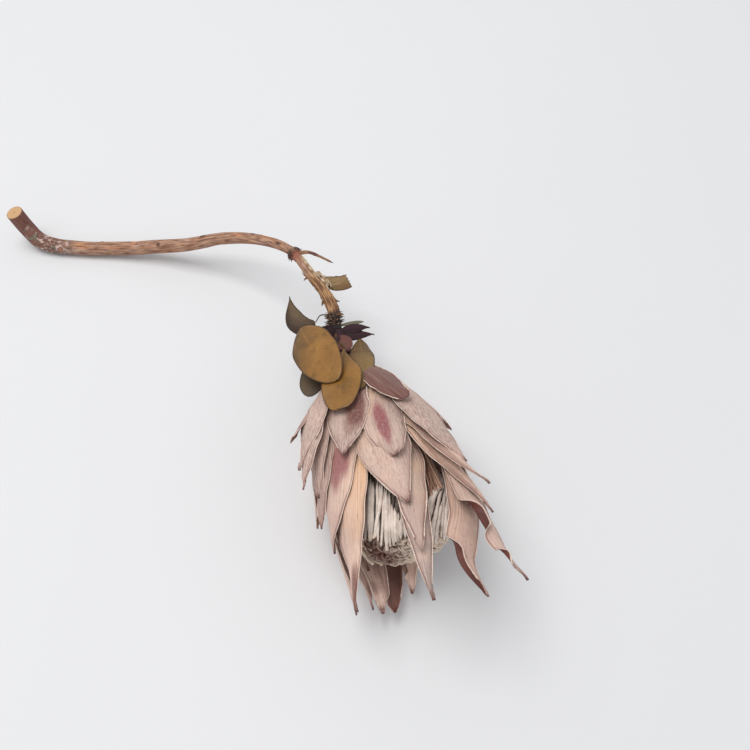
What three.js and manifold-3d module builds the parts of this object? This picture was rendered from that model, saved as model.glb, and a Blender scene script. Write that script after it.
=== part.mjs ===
// A dried king protea: one bloom on its cut woody stem, with the few leathery leaves that are
// left under it. It lies on its side as it was put down. Millimetres, +Z up, and the surface
// that it rests on is z = 0.

import * as THREE from "three";
import { mergeVertices } from "three/addons/utils/BufferGeometryUtils.js";
import Module from "manifold-3d";

const wasm = await Module();
wasm.setup();

// Driving dimensions, in millimetres
const GAP = 0.3; // clear space between neighbouring pieces
const BRACT_THICK = 0.8;
const LEAF_THICK = 0.9;
const TIP_WIDTH = 1.0; // a blade's point is this wide
const ROOT_WIDTH = 0.3; // a bract's root against its full width
const TORN_END = 0.6; // a torn leaf stops narrowing here, against its length
const FLOOR_CLEAR = 0.02; // a pressed blade stays this far above the surface

// How finely the pieces are cut into faces
const BRACT_CELLS = { along: 8, across: 2 };
const COLLAR_CELLS = { along: 3, across: 2 };
const LEAF_CELLS = { along: 7, across: 3 };
const STEM_SIDES = 9;
const STEM_STEPS = 48;
const AXIS_SIDES = 16;

// Where the flower lies: turned so that it is longest along X, with its box centred on the origin
const LAY = { turn: 43, x: 43.6, y: 53.5 };

// The head's axis starts at its seat on the stem. It heads off from -Y towards +X, and nods down
const HEAD = { seat: new THREE.Vector3(-15, -18, 44), heading: 18, nod: -2 };

// Profiles round the head's axis: distance along it from the seat, and radius there
const RECEPTACLE = [[GAP, 8], [3, 11], [7, 13.6], [12, 15.6], [17, 16.4], [20, 15], [20.5, 0]];
const FLORET_MASS = [
  [20.8, 9], [28, 12.5], [40, 16.5], [60, 21], [80, 23], [102, 24.2], [110, 22], [114, 15], [116, 0],
];
const COLLAR = [[-21.9, 3.4], [-18, 4.1], [-10, 4.2], [-4, 5.5], [0, 6.3]];

// The styles stand side by side round the mass of florets, with curled ends at its top
const STYLES = { round: 34, inside: 18, rib: 1.6, thick: 2, curl: 3.6 };
const FULL_RIB_RADIUS = 20; // the ribs flatten out where the mass is narrower than this
const CURLS = { outer: 22, inner: 19, drop: 6, dropRadius: 23, below: 2, swing: 140 };

// The stem's centre line from its cut end to the collar, and its radius at each point
const STEM_LINE = [
  [-233, 105.7, 26, 4.2], [-229.3, 104.2, 17, 4.2], [-224.3, 101.3, 10, 4.2], [-218.3, 98.5, 6, 4.2],
  [-209.7, 96.1, 4.35, 4.1], [-198.6, 94.4, 4.22, 4], [-186.3, 93, 4.32, 4], [-172.6, 92.1, 5.2, 4],
  [-158.6, 90.8, 7.3, 4], [-144.5, 89.6, 10.5, 3.9], [-121, 85.2, 18, 3.8], [-94.5, 81.2, 30, 3.6],
  [-73.6, 73.2, 40, 3.4], [-57.5, 63.5, 47, 3.3], [-48.6, 55.2, 50, 3.1], [-42.6, 44.3, 50.5, 3],
  [-37.6, 36.1, 50.3, 2.9], [-32.4, 29.8, 50, 2.8], [-26.9, 21, 49.5, 2.9], [-23.7, 13.2, 48, 3],
  [-23.5, 8.4, 45.8, 3.1], [-22.05, 3.7, 44.8, 3.2],
];
const NODE_RING = { at: 0.79, length: 4, radius: 4.9, crown: 4 };
const BARK = { furrows: 3, furrow: 0.15, knots: 90, knot: 0.12, twist: 40 };
const STUB_SIDES = 5;
const STALK_RADIUS = 1;

// Bracts that show on the side facing up. turn is in degrees round the axis, 0 on top, at the
// root, the middle and the tip. root and reach are along the axis. belly and flare are the
// distances from the axis at the middle and at the tip. widest is how far along the blade it is
// at its full width, and taper above 1 makes a slimmer point.
const SEEN_BRACTS = [
  { turn: [-18, -21, -35], root: 3, reach: 67, belly: 33, flare: 41, width: 24, widest: 0.6, taper: 0.8 },
  { turn: [26, 7, 1], root: 4, reach: 78, belly: 32, flare: 41, width: 23, widest: 0.65, taper: 0.5 },
  { turn: [13, -3, -1], root: 7, reach: 103, belly: 33, flare: 39, width: 29, widest: 0.55, taper: 0.9 },
  { turn: [22, 11, -4], root: 9, reach: 127, belly: 31, flare: 38, width: 22, widest: 0.5, taper: 0.9 },
  { turn: [36, 7, -6], root: 11, reach: 150, belly: 28.5, flare: 35, width: 17, widest: 0.45, taper: 1 },
  { turn: [-32, -43, -85], root: 7, reach: 105, belly: 35, flare: 40, width: 25, widest: 0.6, taper: 0.9 },
  { turn: [-58, -46, -83], root: 5, reach: 91, belly: 36.5, flare: 43, width: 24, widest: 0.55, taper: 0.9 },
  { turn: [-28, -43, -86], root: 10, reach: 138, belly: 32, flare: 37, width: 25, widest: 0.5, taper: 0.9 },
  { turn: [-105, -118, -98], root: 9, reach: 135, belly: 36, flare: 37, width: 24, widest: 0.45, taper: 1 },
  { turn: [12, 15, 25], root: 3, reach: 48, belly: 26, flare: 38, width: 17, widest: 0.6, taper: 0.6 },
  { turn: [38, 33, 44], root: 4, reach: 90, belly: 36, flare: 50, width: 22, widest: 0.5, taper: 0.9 },
  { turn: [43, 31, 42], root: 6, reach: 107, belly: 35, flare: 57, width: 19, widest: 0.45, taper: 1.1 },
  { turn: [40, 31, 45], root: 8, reach: 119, belly: 34.5, flare: 54, width: 20, widest: 0.45, taper: 1.1 },
  { turn: [60, 39, 31], root: 10, reach: 157, belly: 32.5, flare: 44, width: 21, widest: 0.5, taper: 1 },
  { turn: [74, 40, 30], root: 9, reach: 160, belly: 38, flare: 66, width: 22, widest: 0.5, taper: 1 },
  { turn: [-69, -63, -63], root: 3, reach: 48, belly: 31, flare: 52, width: 14, widest: 0.5, taper: 1 },
  { turn: [-52, -50, -63], root: 3, reach: 64, belly: 37.5, flare: 51, width: 20, widest: 0.5, taper: 1 },
  { turn: [-62, -54, -62], root: 4, reach: 75, belly: 39, flare: 52.5, width: 19, widest: 0.5, taper: 1 },
  { turn: [185, 196, 212], root: 11, reach: 136, belly: 32, flare: 31, width: 24, widest: 0.5, taper: 1 },
  { turn: [189, 205, 224], root: 9, reach: 135, belly: 34, flare: 34, width: 18, widest: 0.5, taper: 1 },
  { turn: [215, 222, 231], root: 10, reach: 132, belly: 34, flare: 36, width: 18, widest: 0.5, taper: 1 },
  { turn: [165, 171, 190], root: 10, reach: 129, belly: 32, flare: 32, width: 18, widest: 0.5, taper: 0.8 },
];

// Across its width a bract is bent into an arc, more so at its tip. Half the arc, in radians
const BRACT_BEND = { base: 0.42, tip: 0.5 };
const ROOT_SINK = 2.2; // how deep a bract's root sits in what it grows from

// Each bract lies over those that spring from higher up the receptacle
const RESTING_ROOT = 6;
const INNERMOST_ROOT = 12;
const LAYER_RISE = 0.5;

// Tiers of bracts round the sides and the underside, from the outermost to the innermost. The
// flower rests on two of the middle tier and on its stem.
const HIDDEN_TIERS = [
  { turns: [80, 125, 178, 231], root: 3, reach: 56, belly: 29, flare: 40, width: 21 },
  { turns: [66, 106, 149, 209, 246], root: 6, reach: 84, belly: 34, flare: 48, width: 23 },
  { turns: [88, 130, 178, 221, 266, 290], root: 8, reach: 106, belly: 33, flare: 36, width: 25 },
];
const HIDDEN_OUTLINE = { widest: 0.5, taper: 0.9 };
const HIDDEN_JITTER = { turn: 4, reach: 5, flare: 2 };

// Small dark bracts on the collar
const COLLAR_BRACTS = [
  { turn: [-60, -58, -56], root: -18.5, reach: -25, belly: 8, flare: 12, width: 7, widest: 0.4, taper: 1 },
  { turn: [-50, -46, -44], root: -19, reach: -6, belly: 8, flare: 12, width: 11, widest: 0.5, taper: 0.7 },
  { turn: [40, 52, 60], root: -18.5, reach: -13, belly: 11, flare: 19.2, width: 8, widest: 0.4, taper: 1 },
  { turn: [34, 50, 61], root: -17, reach: -8.4, belly: 12, flare: 20.1, width: 9, widest: 0.4, taper: 1 },
  { turn: [4, 0, -3], root: -19, reach: -1, belly: 9, flare: 13, width: 9, widest: 0.5, taper: 0.6 },
  { turn: [44, 52, 58], root: -19, reach: -18, belly: 11, flare: 17.7, width: 3, widest: 0.5, taper: 0.5 },
  { turn: [150, 150, 152], root: -12, reach: 2, belly: 10, flare: 17, width: 9, widest: 0.4, taper: 1 },
  { turn: [215, 213, 210], root: -13, reach: 1, belly: 10, flare: 18, width: 9, widest: 0.4, taper: 1 },
];

// Leaves: the stalk runs from the stem to the blade's base, the blade's midline passes through
// middle, and face is where the upper side looks. A torn leaf keeps its width to its end.
const LEAVES = {
  leaf_ochre_large: {
    stalk: [[-23.3, 9, 47], [-31, 5.5, 52], [-41.8, -1, 55]],
    middle: [-33.6, -22.5, 66.5], tip: [-19.2, -46.6, 76],
    face: [-0.6, 0.1, 1], width: 26, cup: 0.35, blunt: 0.55,
  },
  leaf_ochre_long: {
    stalk: [[-22.8, 7, 46.5], [-20.3, -3, 55.5], [-17, -16.5, 60.5]],
    middle: [-18.1, -42.7, 72.8], tip: [-17.6, -66.2, 80],
    face: [-0.4, 0.5, 1], width: 23, cup: 0.35, blunt: 0.36,
  },
  leaf_olive: {
    stalk: [[-22.8, 9, 46.3], [-12.5, 2.5, 44.3], [-8.7, -4, 48.3]],
    middle: [-7.4, -27.5, 63.5], tip: [-7.2, -52.5, 76],
    face: [-0.05, 0.6, 1], width: 14.5, cup: 0.4, blunt: 0.75,
  },
  leaf_folded: {
    stalk: [[-25, 15, 48.5], [-29.5, 11, 48], [-34.4, 6.2, 48]],
    middle: [-46, 9.6, 48], tip: [-50.1, 25.6, 47],
    face: [-0.3, -0.8, 0.6], width: 17, cup: 0.9, blunt: 0.5,
  },
  leaf_grey: {
    stalk: [[-23.6, 10.5, 46.3], [-28, 0, 42], [-29, -14, 43.5]],
    middle: [-33.6, -28, 48.5], tip: [-37, -41, 47],
    face: [-0.3, -0.2, 1], width: 16, cup: 0.2, blunt: 0.45,
  },
  leaf_torn: {
    stalk: [[-41, 42.5, 50.6], [-36, 40.5, 52.5], [-32.3, 37.8, 52]],
    middle: [-24, 34.6, 52], tip: [-15.2, 32.4, 53],
    face: [0.2, -0.6, 1], width: 6.5, cup: 0.4, blunt: 0.3, torn: true,
  },
};

// Twig and torn stubs that stand out of the stem: points, and the radius at each end
const STUBS = [
  { points: [[-47, 55, 50], [-39.7, 52.2, 55], [-34.7, 48.8, 57], [-24.5, 41.4, 59]], radii: [1.3, 0.5] },
  { points: [[-39, 38, 50], [-42.5, 34.5, 50.5]], radii: [1.6, 0.6] },
  { points: [[-29, 25, 49], [-31.5, 19, 50]], radii: [1.6, 0.7] },
  { points: [[-27, 22, 49], [-21, 19.5, 51.5]], radii: [1.6, 0.6] },
  { points: [[-24, 14, 48], [-18, 11.5, 50]], radii: [2, 0.8] },
  { points: [[-24, 14, 47], [-29, 14, 43.5]], radii: [2, 0.7] },
];

const COLOURS = {
  stem: 0x8a6a58, collar: 0x3c2530, bracts: 0xc2a79f, florets: 0xc9bda4,
  leaf_ochre_large: 0xa07c45, leaf_ochre_long: 0xa98a4c, leaf_olive: 0x8b8558, leaf_folded: 0x8a7460,
  leaf_grey: 0x5d5a4c, leaf_torn: 0x8a7450,
};

const radians = THREE.MathUtils.degToRad;
const lerp = THREE.MathUtils.lerp;
const clamp = THREE.MathUtils.clamp;
const point = ([x, y, z]) => new THREE.Vector3(x, y, z);

// A repeatable random number from 0 to 1
function seeded(seed) {
  let state = seed;
  return () => {
    state = (state * 1664525 + 1013904223) % 4294967296;
    return state / 4294967296;
  };
}

// The smooth curve through a at 0, b at a half and c at 1
function through(a, b, c, t) {
  const pull = 2 * b - (a + c) / 2;
  return (1 - t) ** 2 * a + 2 * t * (1 - t) * pull + t * t * c;
}

// The radius of a profile at a distance along the axis
function profileRadius(profile, s) {
  if (s <= profile[0][0]) return profile[0][1];
  for (let i = 1; i < profile.length; i++) {
    const [s0, r0] = profile[i - 1];
    const [s1, r1] = profile[i];
    if (s <= s1) return lerp(r0, r1, (s - s0) / (s1 - s0));
  }
  return 0;
}

// Frame of the head: along its axis, up, and to the right of the axis as seen from above
const along = new THREE.Vector3(
  Math.sin(radians(HEAD.heading)) * Math.cos(radians(HEAD.nod)),
  -Math.cos(radians(HEAD.heading)) * Math.cos(radians(HEAD.nod)),
  Math.sin(radians(HEAD.nod)),
);
const upward = new THREE.Vector3(0, 0, 1).addScaledVector(along, -along.z).normalize();
const sideways = new THREE.Vector3().crossVectors(upward, along).normalize();

function outward(turn) {
  const angle = radians(turn);
  return upward.clone().multiplyScalar(Math.cos(angle)).addScaledVector(sideways, Math.sin(angle));
}

function onHead(s, r, turn) {
  return HEAD.seat.clone().addScaledVector(along, s).addScaledVector(outward(turn), r);
}

// A closed mesh from points and triangles, turned so that its faces point out
function closedMesh(points, triangles) {
  let volume = 0;
  for (const [a, b, c] of triangles) {
    volume += points[a].dot(new THREE.Vector3().crossVectors(points[b], points[c]));
  }
  const index = triangles.flatMap(([a, b, c]) => (volume > 0 ? [a, b, c] : [a, c, b]));
  const geometry = new THREE.BufferGeometry();
  const coordinates = points.flatMap((p) => p.toArray());
  geometry.setAttribute("position", new THREE.Float32BufferAttribute(coordinates, 3));
  geometry.setIndex(index);
  return geometry;
}

// A blade from rows of mid-surface points with normals. Both faces are split along the same
// diagonals, so that they never cross.
function bladeMesh(rows, thickness) {
  const across = rows[0].length;
  const flat = rows.flat();
  const points = [
    ...flat.map(({ p, n }) => p.clone().addScaledVector(n, thickness / 2)),
    ...flat.map(({ p, n }) => p.clone().addScaledVector(n, -thickness / 2)),
  ];
  const under = flat.length;
  const triangles = [];
  for (let i = 0; i < rows.length - 1; i++) {
    for (let j = 0; j < across - 1; j++) {
      const a = i * across + j;
      const b = a + 1;
      const c = a + across;
      const d = c + 1;
      triangles.push([a, b, d], [a, d, c]);
      triangles.push([under + a, under + d, under + b], [under + a, under + c, under + d]);
    }
  }
  const rim = [];
  for (let j = 0; j < across - 1; j++) rim.push(j);
  for (let i = 0; i < rows.length - 1; i++) rim.push(i * across + across - 1);
  for (let j = across - 1; j > 0; j--) rim.push((rows.length - 1) * across + j);
  for (let i = rows.length - 1; i > 0; i--) rim.push(i * across);
  rim.forEach((a, k) => {
    const b = rim[(k + 1) % rim.length];
    triangles.push([a, under + a, b], [b, under + a, under + b]);
  });
  return closedMesh(points, triangles);
}

// Rows of a blade that follows a midline, bent into an arc across its width
function bladeRows(midline, facing, halfWidth, bend, cells, lowest) {
  const rows = [];
  for (let i = 0; i <= cells.along; i++) {
    const t = i / cells.along;
    const step = 0.01;
    const here = midline(t);
    const tangent = midline(Math.min(1, t + step)).sub(midline(Math.max(0, t - step))).normalize();
    const lateral = new THREE.Vector3().crossVectors(tangent, facing(t)).normalize();
    const normal = new THREE.Vector3().crossVectors(lateral, tangent).normalize();
    const radius = halfWidth(t) / bend(t);
    const row = [];
    for (let j = 0; j <= cells.across; j++) {
      const angle = bend(t) * lerp(-1, 1, j / cells.across);
      const p = here.clone().addScaledVector(lateral, radius * Math.sin(angle));
      p.addScaledVector(normal, -radius * (1 - Math.cos(angle)));
      const n = normal.clone().multiplyScalar(Math.cos(angle)).addScaledVector(lateral, Math.sin(angle));
      if (p.z < lowest) {
        p.z = lowest;
        n.set(0, 0, Math.sign(n.z) || 1);
      }
      row.push({ p, n });
    }
    rows.push(row);
  }
  return rows;
}

// A bract springs from the receptacle, swells round the florets and tapers to a point
function bractMesh(bract, seatProfile, cells) {
  const { turn, root, reach, belly, flare, width, widest, taper } = bract;
  const rootRadius = profileRadius(seatProfile, root) - ROOT_SINK;
  const midline = (t) => {
    const s = lerp(root, reach, t);
    const own = through(rootRadius, belly, flare, t);
    const overlap = LAYER_RISE * (INNERMOST_ROOT - root);
    const clearOfFlorets = profileRadius(FLORET_MASS, s) + STYLES.rib + BRACT_THICK + GAP + overlap;
    const r = s > FLORET_MASS[0][0] && s < FLORET_MASS.at(-1)[0] ? Math.max(own, clearOfFlorets) : own;
    return onHead(s, r, through(...turn, t));
  };
  const halfWidth = (t) => {
    const spread = t < widest
      ? lerp(ROOT_WIDTH, 1, Math.sin((Math.PI / 2) * (t / widest)))
      : Math.cos((Math.PI / 2) * ((t - widest) / (1 - widest))) ** taper;
    return Math.max(TIP_WIDTH, width * spread) / 2;
  };
  const bend = (t) => BRACT_BEND.base + BRACT_BEND.tip * t ** 4;
  const facing = (t) => outward(through(...turn, t));
  const lowest = BRACT_THICK / 2 + FLOOR_CLEAR + LAYER_RISE * Math.max(0, root - RESTING_ROOT);
  return bladeMesh(bladeRows(midline, facing, halfWidth, bend, cells, lowest), BRACT_THICK);
}

// A round solid about the head's axis
function axisSolid(profile) {
  const outline = profile.map(([s, r]) => new THREE.Vector2(r, s));
  if (outline[0].x > 0) outline.unshift(new THREE.Vector2(0, outline[0].y));
  if (outline.at(-1).x > 0) outline.push(new THREE.Vector2(0, outline.at(-1).y));
  const lathe = new THREE.LatheGeometry(outline, AXIS_SIDES);
  lathe.applyMatrix4(new THREE.Matrix4().makeBasis(sideways, along, upward.clone().negate()));
  lathe.translate(HEAD.seat.x, HEAD.seat.y, HEAD.seat.z);
  return lathe;
}

// A closed tube along points, with its radius given along its length
function tubeMesh(points, radiusAt, sides, steps) {
  const curve = new THREE.CatmullRomCurve3(points, false, "centripetal");
  const frames = curve.computeFrenetFrames(steps, false);
  const rings = [];
  for (let i = 0; i <= steps; i++) {
    const centre = curve.getPointAt(i / steps);
    for (let k = 0; k < sides; k++) {
      const angle = (2 * Math.PI * k) / sides;
      const r = radiusAt(i / steps, angle);
      rings.push(centre.clone()
        .addScaledVector(frames.normals[i], r * Math.cos(angle))
        .addScaledVector(frames.binormals[i], r * Math.sin(angle)));
    }
  }
  const first = rings.push(curve.getPointAt(0)) - 1;
  const last = rings.push(curve.getPointAt(1)) - 1;
  const triangles = [];
  for (let k = 0; k < sides; k++) {
    const next = (k + 1) % sides;
    for (let i = 0; i < steps; i++) {
      const a = i * sides + k;
      const b = i * sides + next;
      triangles.push([a, b, b + sides], [a, b + sides, a + sides]);
    }
    triangles.push([first, next, k], [last, steps * sides + k, steps * sides + next]);
  }
  return closedMesh(rings, triangles);
}

// A solid that can be joined and cut, from a closed mesh
function solid(geometry) {
  const bare = geometry.clone();
  bare.deleteAttribute("normal");
  bare.deleteAttribute("uv");
  const merged = mergeVertices(bare, 1e-4);
  const index = [];
  for (let i = 0; i < merged.index.count; i += 3) {
    const [a, b, c] = [0, 1, 2].map((k) => merged.index.getX(i + k));
    if (a !== b && b !== c && c !== a) index.push(a, b, c);
  }
  return new wasm.Manifold(new wasm.Mesh({
    numProp: 3,
    vertProperties: new Float32Array(merged.attributes.position.array),
    triVerts: new Uint32Array(index),
  }));
}

function fuse(geometries) {
  return geometries.map(solid).reduce((whole, piece) => whole.add(piece));
}

function geometryOf(manifold) {
  const mesh = manifold.getMesh();
  const geometry = new THREE.BufferGeometry();
  geometry.setAttribute("position", new THREE.BufferAttribute(mesh.vertProperties, 3));
  geometry.setIndex(new THREE.BufferAttribute(mesh.triVerts, 1));
  return geometry;
}

// The woody stem, its swollen ring, its twig and torn stubs
const stemPoints = STEM_LINE.map(point);
const stemRadii = STEM_LINE.map((row) => row[3]);

function stemRadius(t) {
  const place = clamp(t, 0, 1) * (stemRadii.length - 1);
  const i = Math.min(Math.floor(place), stemRadii.length - 2);
  return lerp(stemRadii[i], stemRadii[i + 1], place - i);
}

function barkRelief(t, angle) {
  const furrows = BARK.furrow * Math.sin(BARK.furrows * angle + BARK.twist * t);
  const knots = BARK.knot * Math.sin(BARK.knots * t + angle);
  return furrows + knots;
}

function stemSolid() {
  const bark = tubeMesh(
    stemPoints,
    (t, angle) => stemRadius(t) + barkRelief(t, angle),
    STEM_SIDES, STEM_STEPS,
  );
  const curve = new THREE.CatmullRomCurve3(stemPoints, false, "centripetal");
  const half = NODE_RING.length / 2 / curve.getLength();
  const ringPoints = [-half, 0, half].map((d) => curve.getPointAt(NODE_RING.at + d));
  const crown = (t) => NODE_RING.radius - NODE_RING.crown * (t - 0.5) ** 2;
  const ring = tubeMesh(ringPoints, crown, STEM_SIDES, 2);
  const stubs = STUBS.map(({ points, radii }) => {
    const steps = points.length > 2 ? 8 : 2;
    return tubeMesh(points.map(point), (t) => lerp(radii[0], radii[1], t), STUB_SIDES, steps);
  });
  return fuse([bark, ring, ...stubs]);
}

function stemClearance() {
  const relief = BARK.furrow + BARK.knot;
  return solid(tubeMesh(stemPoints, (t) => stemRadius(t) + relief + GAP, STEM_SIDES, STEM_STEPS));
}

// The receptacle with every bract
function hiddenBracts() {
  const random = seeded(7);
  const jitter = (size) => (random() * 2 - 1) * size;
  return HIDDEN_TIERS.flatMap(({ turns, ...tier }) => turns.map((turn) => ({
    ...tier,
    ...HIDDEN_OUTLINE,
    turn: [turn, turn, turn + jitter(HIDDEN_JITTER.turn)],
    reach: tier.reach + jitter(HIDDEN_JITTER.reach),
    flare: tier.flare + jitter(HIDDEN_JITTER.flare),
  })));
}

function bractsSolid() {
  const bracts = [...SEEN_BRACTS, ...hiddenBracts()];
  return fuse([axisSolid(RECEPTACLE), ...bracts.map((bract) => bractMesh(bract, RECEPTACLE, BRACT_CELLS))]);
}

// The small dark bracts on their collar
function collarSolid() {
  const bracts = COLLAR_BRACTS.map((bract) => bractMesh(bract, COLLAR, COLLAR_CELLS));
  return fuse([axisSolid(COLLAR), ...bracts]);
}

// The florets: styles packed side by side, so that their backs make ribs, and their curled ends
function ribbedMass() {
  const sides = 2 * STYLES.round;
  const points = [];
  for (const [s, radius] of FLORET_MASS.slice(0, -1)) {
    for (let k = 0; k < sides; k++) {
      const rib = k % 2 === 0 ? STYLES.rib : 0;
      points.push(onHead(s, radius + rib * Math.min(1, radius / FULL_RIB_RADIUS), (360 * k) / sides));
    }
  }
  const rings = FLORET_MASS.length - 1;
  const bottom = points.push(onHead(FLORET_MASS[0][0], 0, 0)) - 1;
  const top = points.push(onHead(FLORET_MASS.at(-1)[0], 0, 0)) - 1;
  const triangles = [];
  for (let k = 0; k < sides; k++) {
    const next = (k + 1) % sides;
    for (let i = 0; i < rings - 1; i++) {
      const a = i * sides + k;
      const b = i * sides + next;
      triangles.push([a, b, b + sides], [a, b + sides, a + sides]);
    }
    triangles.push([bottom, next, k], [top, (rings - 1) * sides + k, (rings - 1) * sides + next]);
  }
  return closedMesh(points, triangles);
}

// One curled end, at a distance from the axis. The ends lie lower towards the rim of the head
function curledEnd(turn, distance, random) {
  const s = FLORET_MASS.at(-1)[0] - CURLS.below - CURLS.drop * (distance / CURLS.dropRadius) ** 4;
  const side = outward(turn + (random() - 0.5) * CURLS.swing).multiplyScalar(STYLES.curl);
  const points = [
    onHead(s - 2 * STYLES.thick, distance * 0.97, turn),
    onHead(s + 1, distance, turn),
    onHead(s + 2.5, distance, turn).addScaledVector(side, 0.5),
    onHead(s + 1, distance, turn).add(side),
  ];
  return tubeMesh(points, () => STYLES.thick / 2, 3, 2);
}

function floretsSolid() {
  const random = seeded(11);
  const outer = Array.from({ length: STYLES.round }, (_, i) =>
    curledEnd((360 * i) / STYLES.round, CURLS.outer, random));
  const golden = 137.508;
  const inner = Array.from({ length: STYLES.inside }, (_, i) =>
    curledEnd(i * golden, CURLS.inner * Math.sqrt((i + 0.5) / STYLES.inside), random));
  return fuse([ribbedMass(), ...outer, ...inner]);
}

// A leathery leaf on its stalk, cut clear of the stem
function leafSolid({ stalk, middle, tip, face, width, cup, blunt, torn }) {
  const base = stalk.at(-1);
  const up = point(face).normalize();
  const midline = (t) => point(base.map((a, k) => through(a, middle[k], tip[k], t)));
  const halfWidth = (t) => {
    const closing = torn ? Math.min(t, TORN_END) : t;
    return Math.max(2 * TIP_WIDTH, width * Math.sin(Math.PI * closing) ** blunt) / 2;
  };
  const rows = bladeRows(midline, () => up, halfWidth, () => cup, LEAF_CELLS, LEAF_THICK);
  const petiole = tubeMesh([...stalk.map(point), midline(0.12)], () => STALK_RADIUS, 6, 6);
  return fuse([bladeMesh(rows, LEAF_THICK), petiole]).subtract(stemClearance());
}

function mesh(name, manifold) {
  const material = new THREE.MeshStandardMaterial({ color: COLOURS[name], roughness: 0.85, metalness: 0 });
  const piece = new THREE.Mesh(geometryOf(manifold), material);
  piece.name = name;
  return piece;
}

const flower = new THREE.Group();
flower.rotation.z = radians(LAY.turn);
flower.position.set(LAY.x, LAY.y, 0);
flower.add(mesh("stem", stemSolid()));
flower.add(mesh("collar", collarSolid()));
flower.add(mesh("bracts", bractsSolid()));
flower.add(mesh("florets", floretsSolid()));
for (const [name, leaf] of Object.entries(LEAVES)) flower.add(mesh(name, leafSolid(leaf)));

const group = new THREE.Group();
group.add(flower);
export default group;
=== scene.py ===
import math

import bpy
import numpy as np
from bpy.props import FloatProperty, FloatVectorProperty, IntProperty, PointerProperty
from bpy.types import Operator, Panel, PropertyGroup
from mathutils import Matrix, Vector


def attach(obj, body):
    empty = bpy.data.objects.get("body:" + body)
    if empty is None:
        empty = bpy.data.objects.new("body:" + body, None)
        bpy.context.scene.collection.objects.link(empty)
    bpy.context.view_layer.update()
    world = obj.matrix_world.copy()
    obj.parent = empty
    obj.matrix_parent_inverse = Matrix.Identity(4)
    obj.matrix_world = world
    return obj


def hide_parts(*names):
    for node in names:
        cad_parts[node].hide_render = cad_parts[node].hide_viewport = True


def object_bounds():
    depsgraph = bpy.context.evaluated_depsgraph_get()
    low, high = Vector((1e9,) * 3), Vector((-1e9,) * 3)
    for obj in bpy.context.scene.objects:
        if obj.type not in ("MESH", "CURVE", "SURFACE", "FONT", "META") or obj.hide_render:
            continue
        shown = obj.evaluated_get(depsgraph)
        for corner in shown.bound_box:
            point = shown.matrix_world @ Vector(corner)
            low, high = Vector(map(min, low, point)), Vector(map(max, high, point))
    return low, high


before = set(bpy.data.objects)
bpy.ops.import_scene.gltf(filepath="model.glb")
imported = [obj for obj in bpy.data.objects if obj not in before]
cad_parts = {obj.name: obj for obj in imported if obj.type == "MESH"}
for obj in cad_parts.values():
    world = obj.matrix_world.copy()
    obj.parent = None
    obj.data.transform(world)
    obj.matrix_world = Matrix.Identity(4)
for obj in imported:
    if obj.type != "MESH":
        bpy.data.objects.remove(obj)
CAD_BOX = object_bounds()

bl_info = {
    "name": "Dried king protea",
    "version": (1, 0, 0),
    "blender": (4, 5, 0),
    "location": "3D View > Sidebar > Protea",
    "description": "Dresses the solids of a dried king protea with bracts, florets, leaves and bark",
    "category": "Add Mesh",
}

MM = 0.001
BODY = "root"

# Where the flower lies in the row frame, as its solids do
LAY = {"turn": 43, "x": 43.6, "y": 53.5}
HEAD = {"seat": (-15, -18, 44), "heading": 18, "nod": -2}
GAP = 0.3

# Profiles round the head's axis: distance along it from the seat, and radius there
RECEPTACLE = [(GAP, 8), (3, 11), (7, 13.6), (12, 15.6), (17, 16.4), (20, 15), (20.5, 0)]
FLORET_MASS = [
    (20.8, 9), (28, 12.5), (40, 16.5), (60, 21), (80, 23), (102, 24.2), (110, 22), (114, 15), (116, 0),
]
COLLAR = [(-21.9, 3.4), (-18, 4.1), (-10, 4.2), (-4, 5.5), (0, 6.3)]

# The stem's centre line from its cut end to the collar, and its radius at each point
STEM_LINE = [
    (-232.5, 105.5, 26.5, 5.3), (-231.1, 105.2, 20.5, 5.2), (-228.9, 104.6, 12.8, 5.1),
    (-220.6, 98.4, 6.9, 4.9), (-209.5, 95.4, 5, 4.6), (-198.6, 94.3, 4.75, 4.4), (-186.3, 93.2, 4.8, 4.4),
    (-172.6, 92.6, 5.6, 4.4), (-158.6, 91.4, 7.6, 4.4), (-144.5, 90.2, 10.7, 4.3), (-121, 86.2, 18, 4.2),
    (-94.5, 82, 30, 4), (-73.6, 73.6, 40, 3.8), (-57.5, 63.5, 47, 3.6), (-48.6, 55.2, 50, 3.3),
    (-42.6, 46.5, 50.5, 3.1), (-36.9, 37.5, 50.3, 2.8), (-31.4, 30.1, 50, 2.6), (-26.8, 21.6, 49.5, 2.9),
    (-23.7, 13.8, 48, 3.3), (-23.2, 8.4, 45.8, 3.4), (-22.05, 3.7, 44.8, 3.3),
]
# The swollen ring: its place along the stem, and the side, in degrees, that is less charred
NODE_RING = {"at": 0.785, "length": 3.4, "radius": 4.4, "crown": 3}
RING_FRONT = 15

BRACT_SHAPE = ("turn", "root", "reach", "belly", "flare", "width", "widest", "taper")


def bract_row(*shape, **looks):
    return dict(zip(BRACT_SHAPE, shape), **looks)


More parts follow.
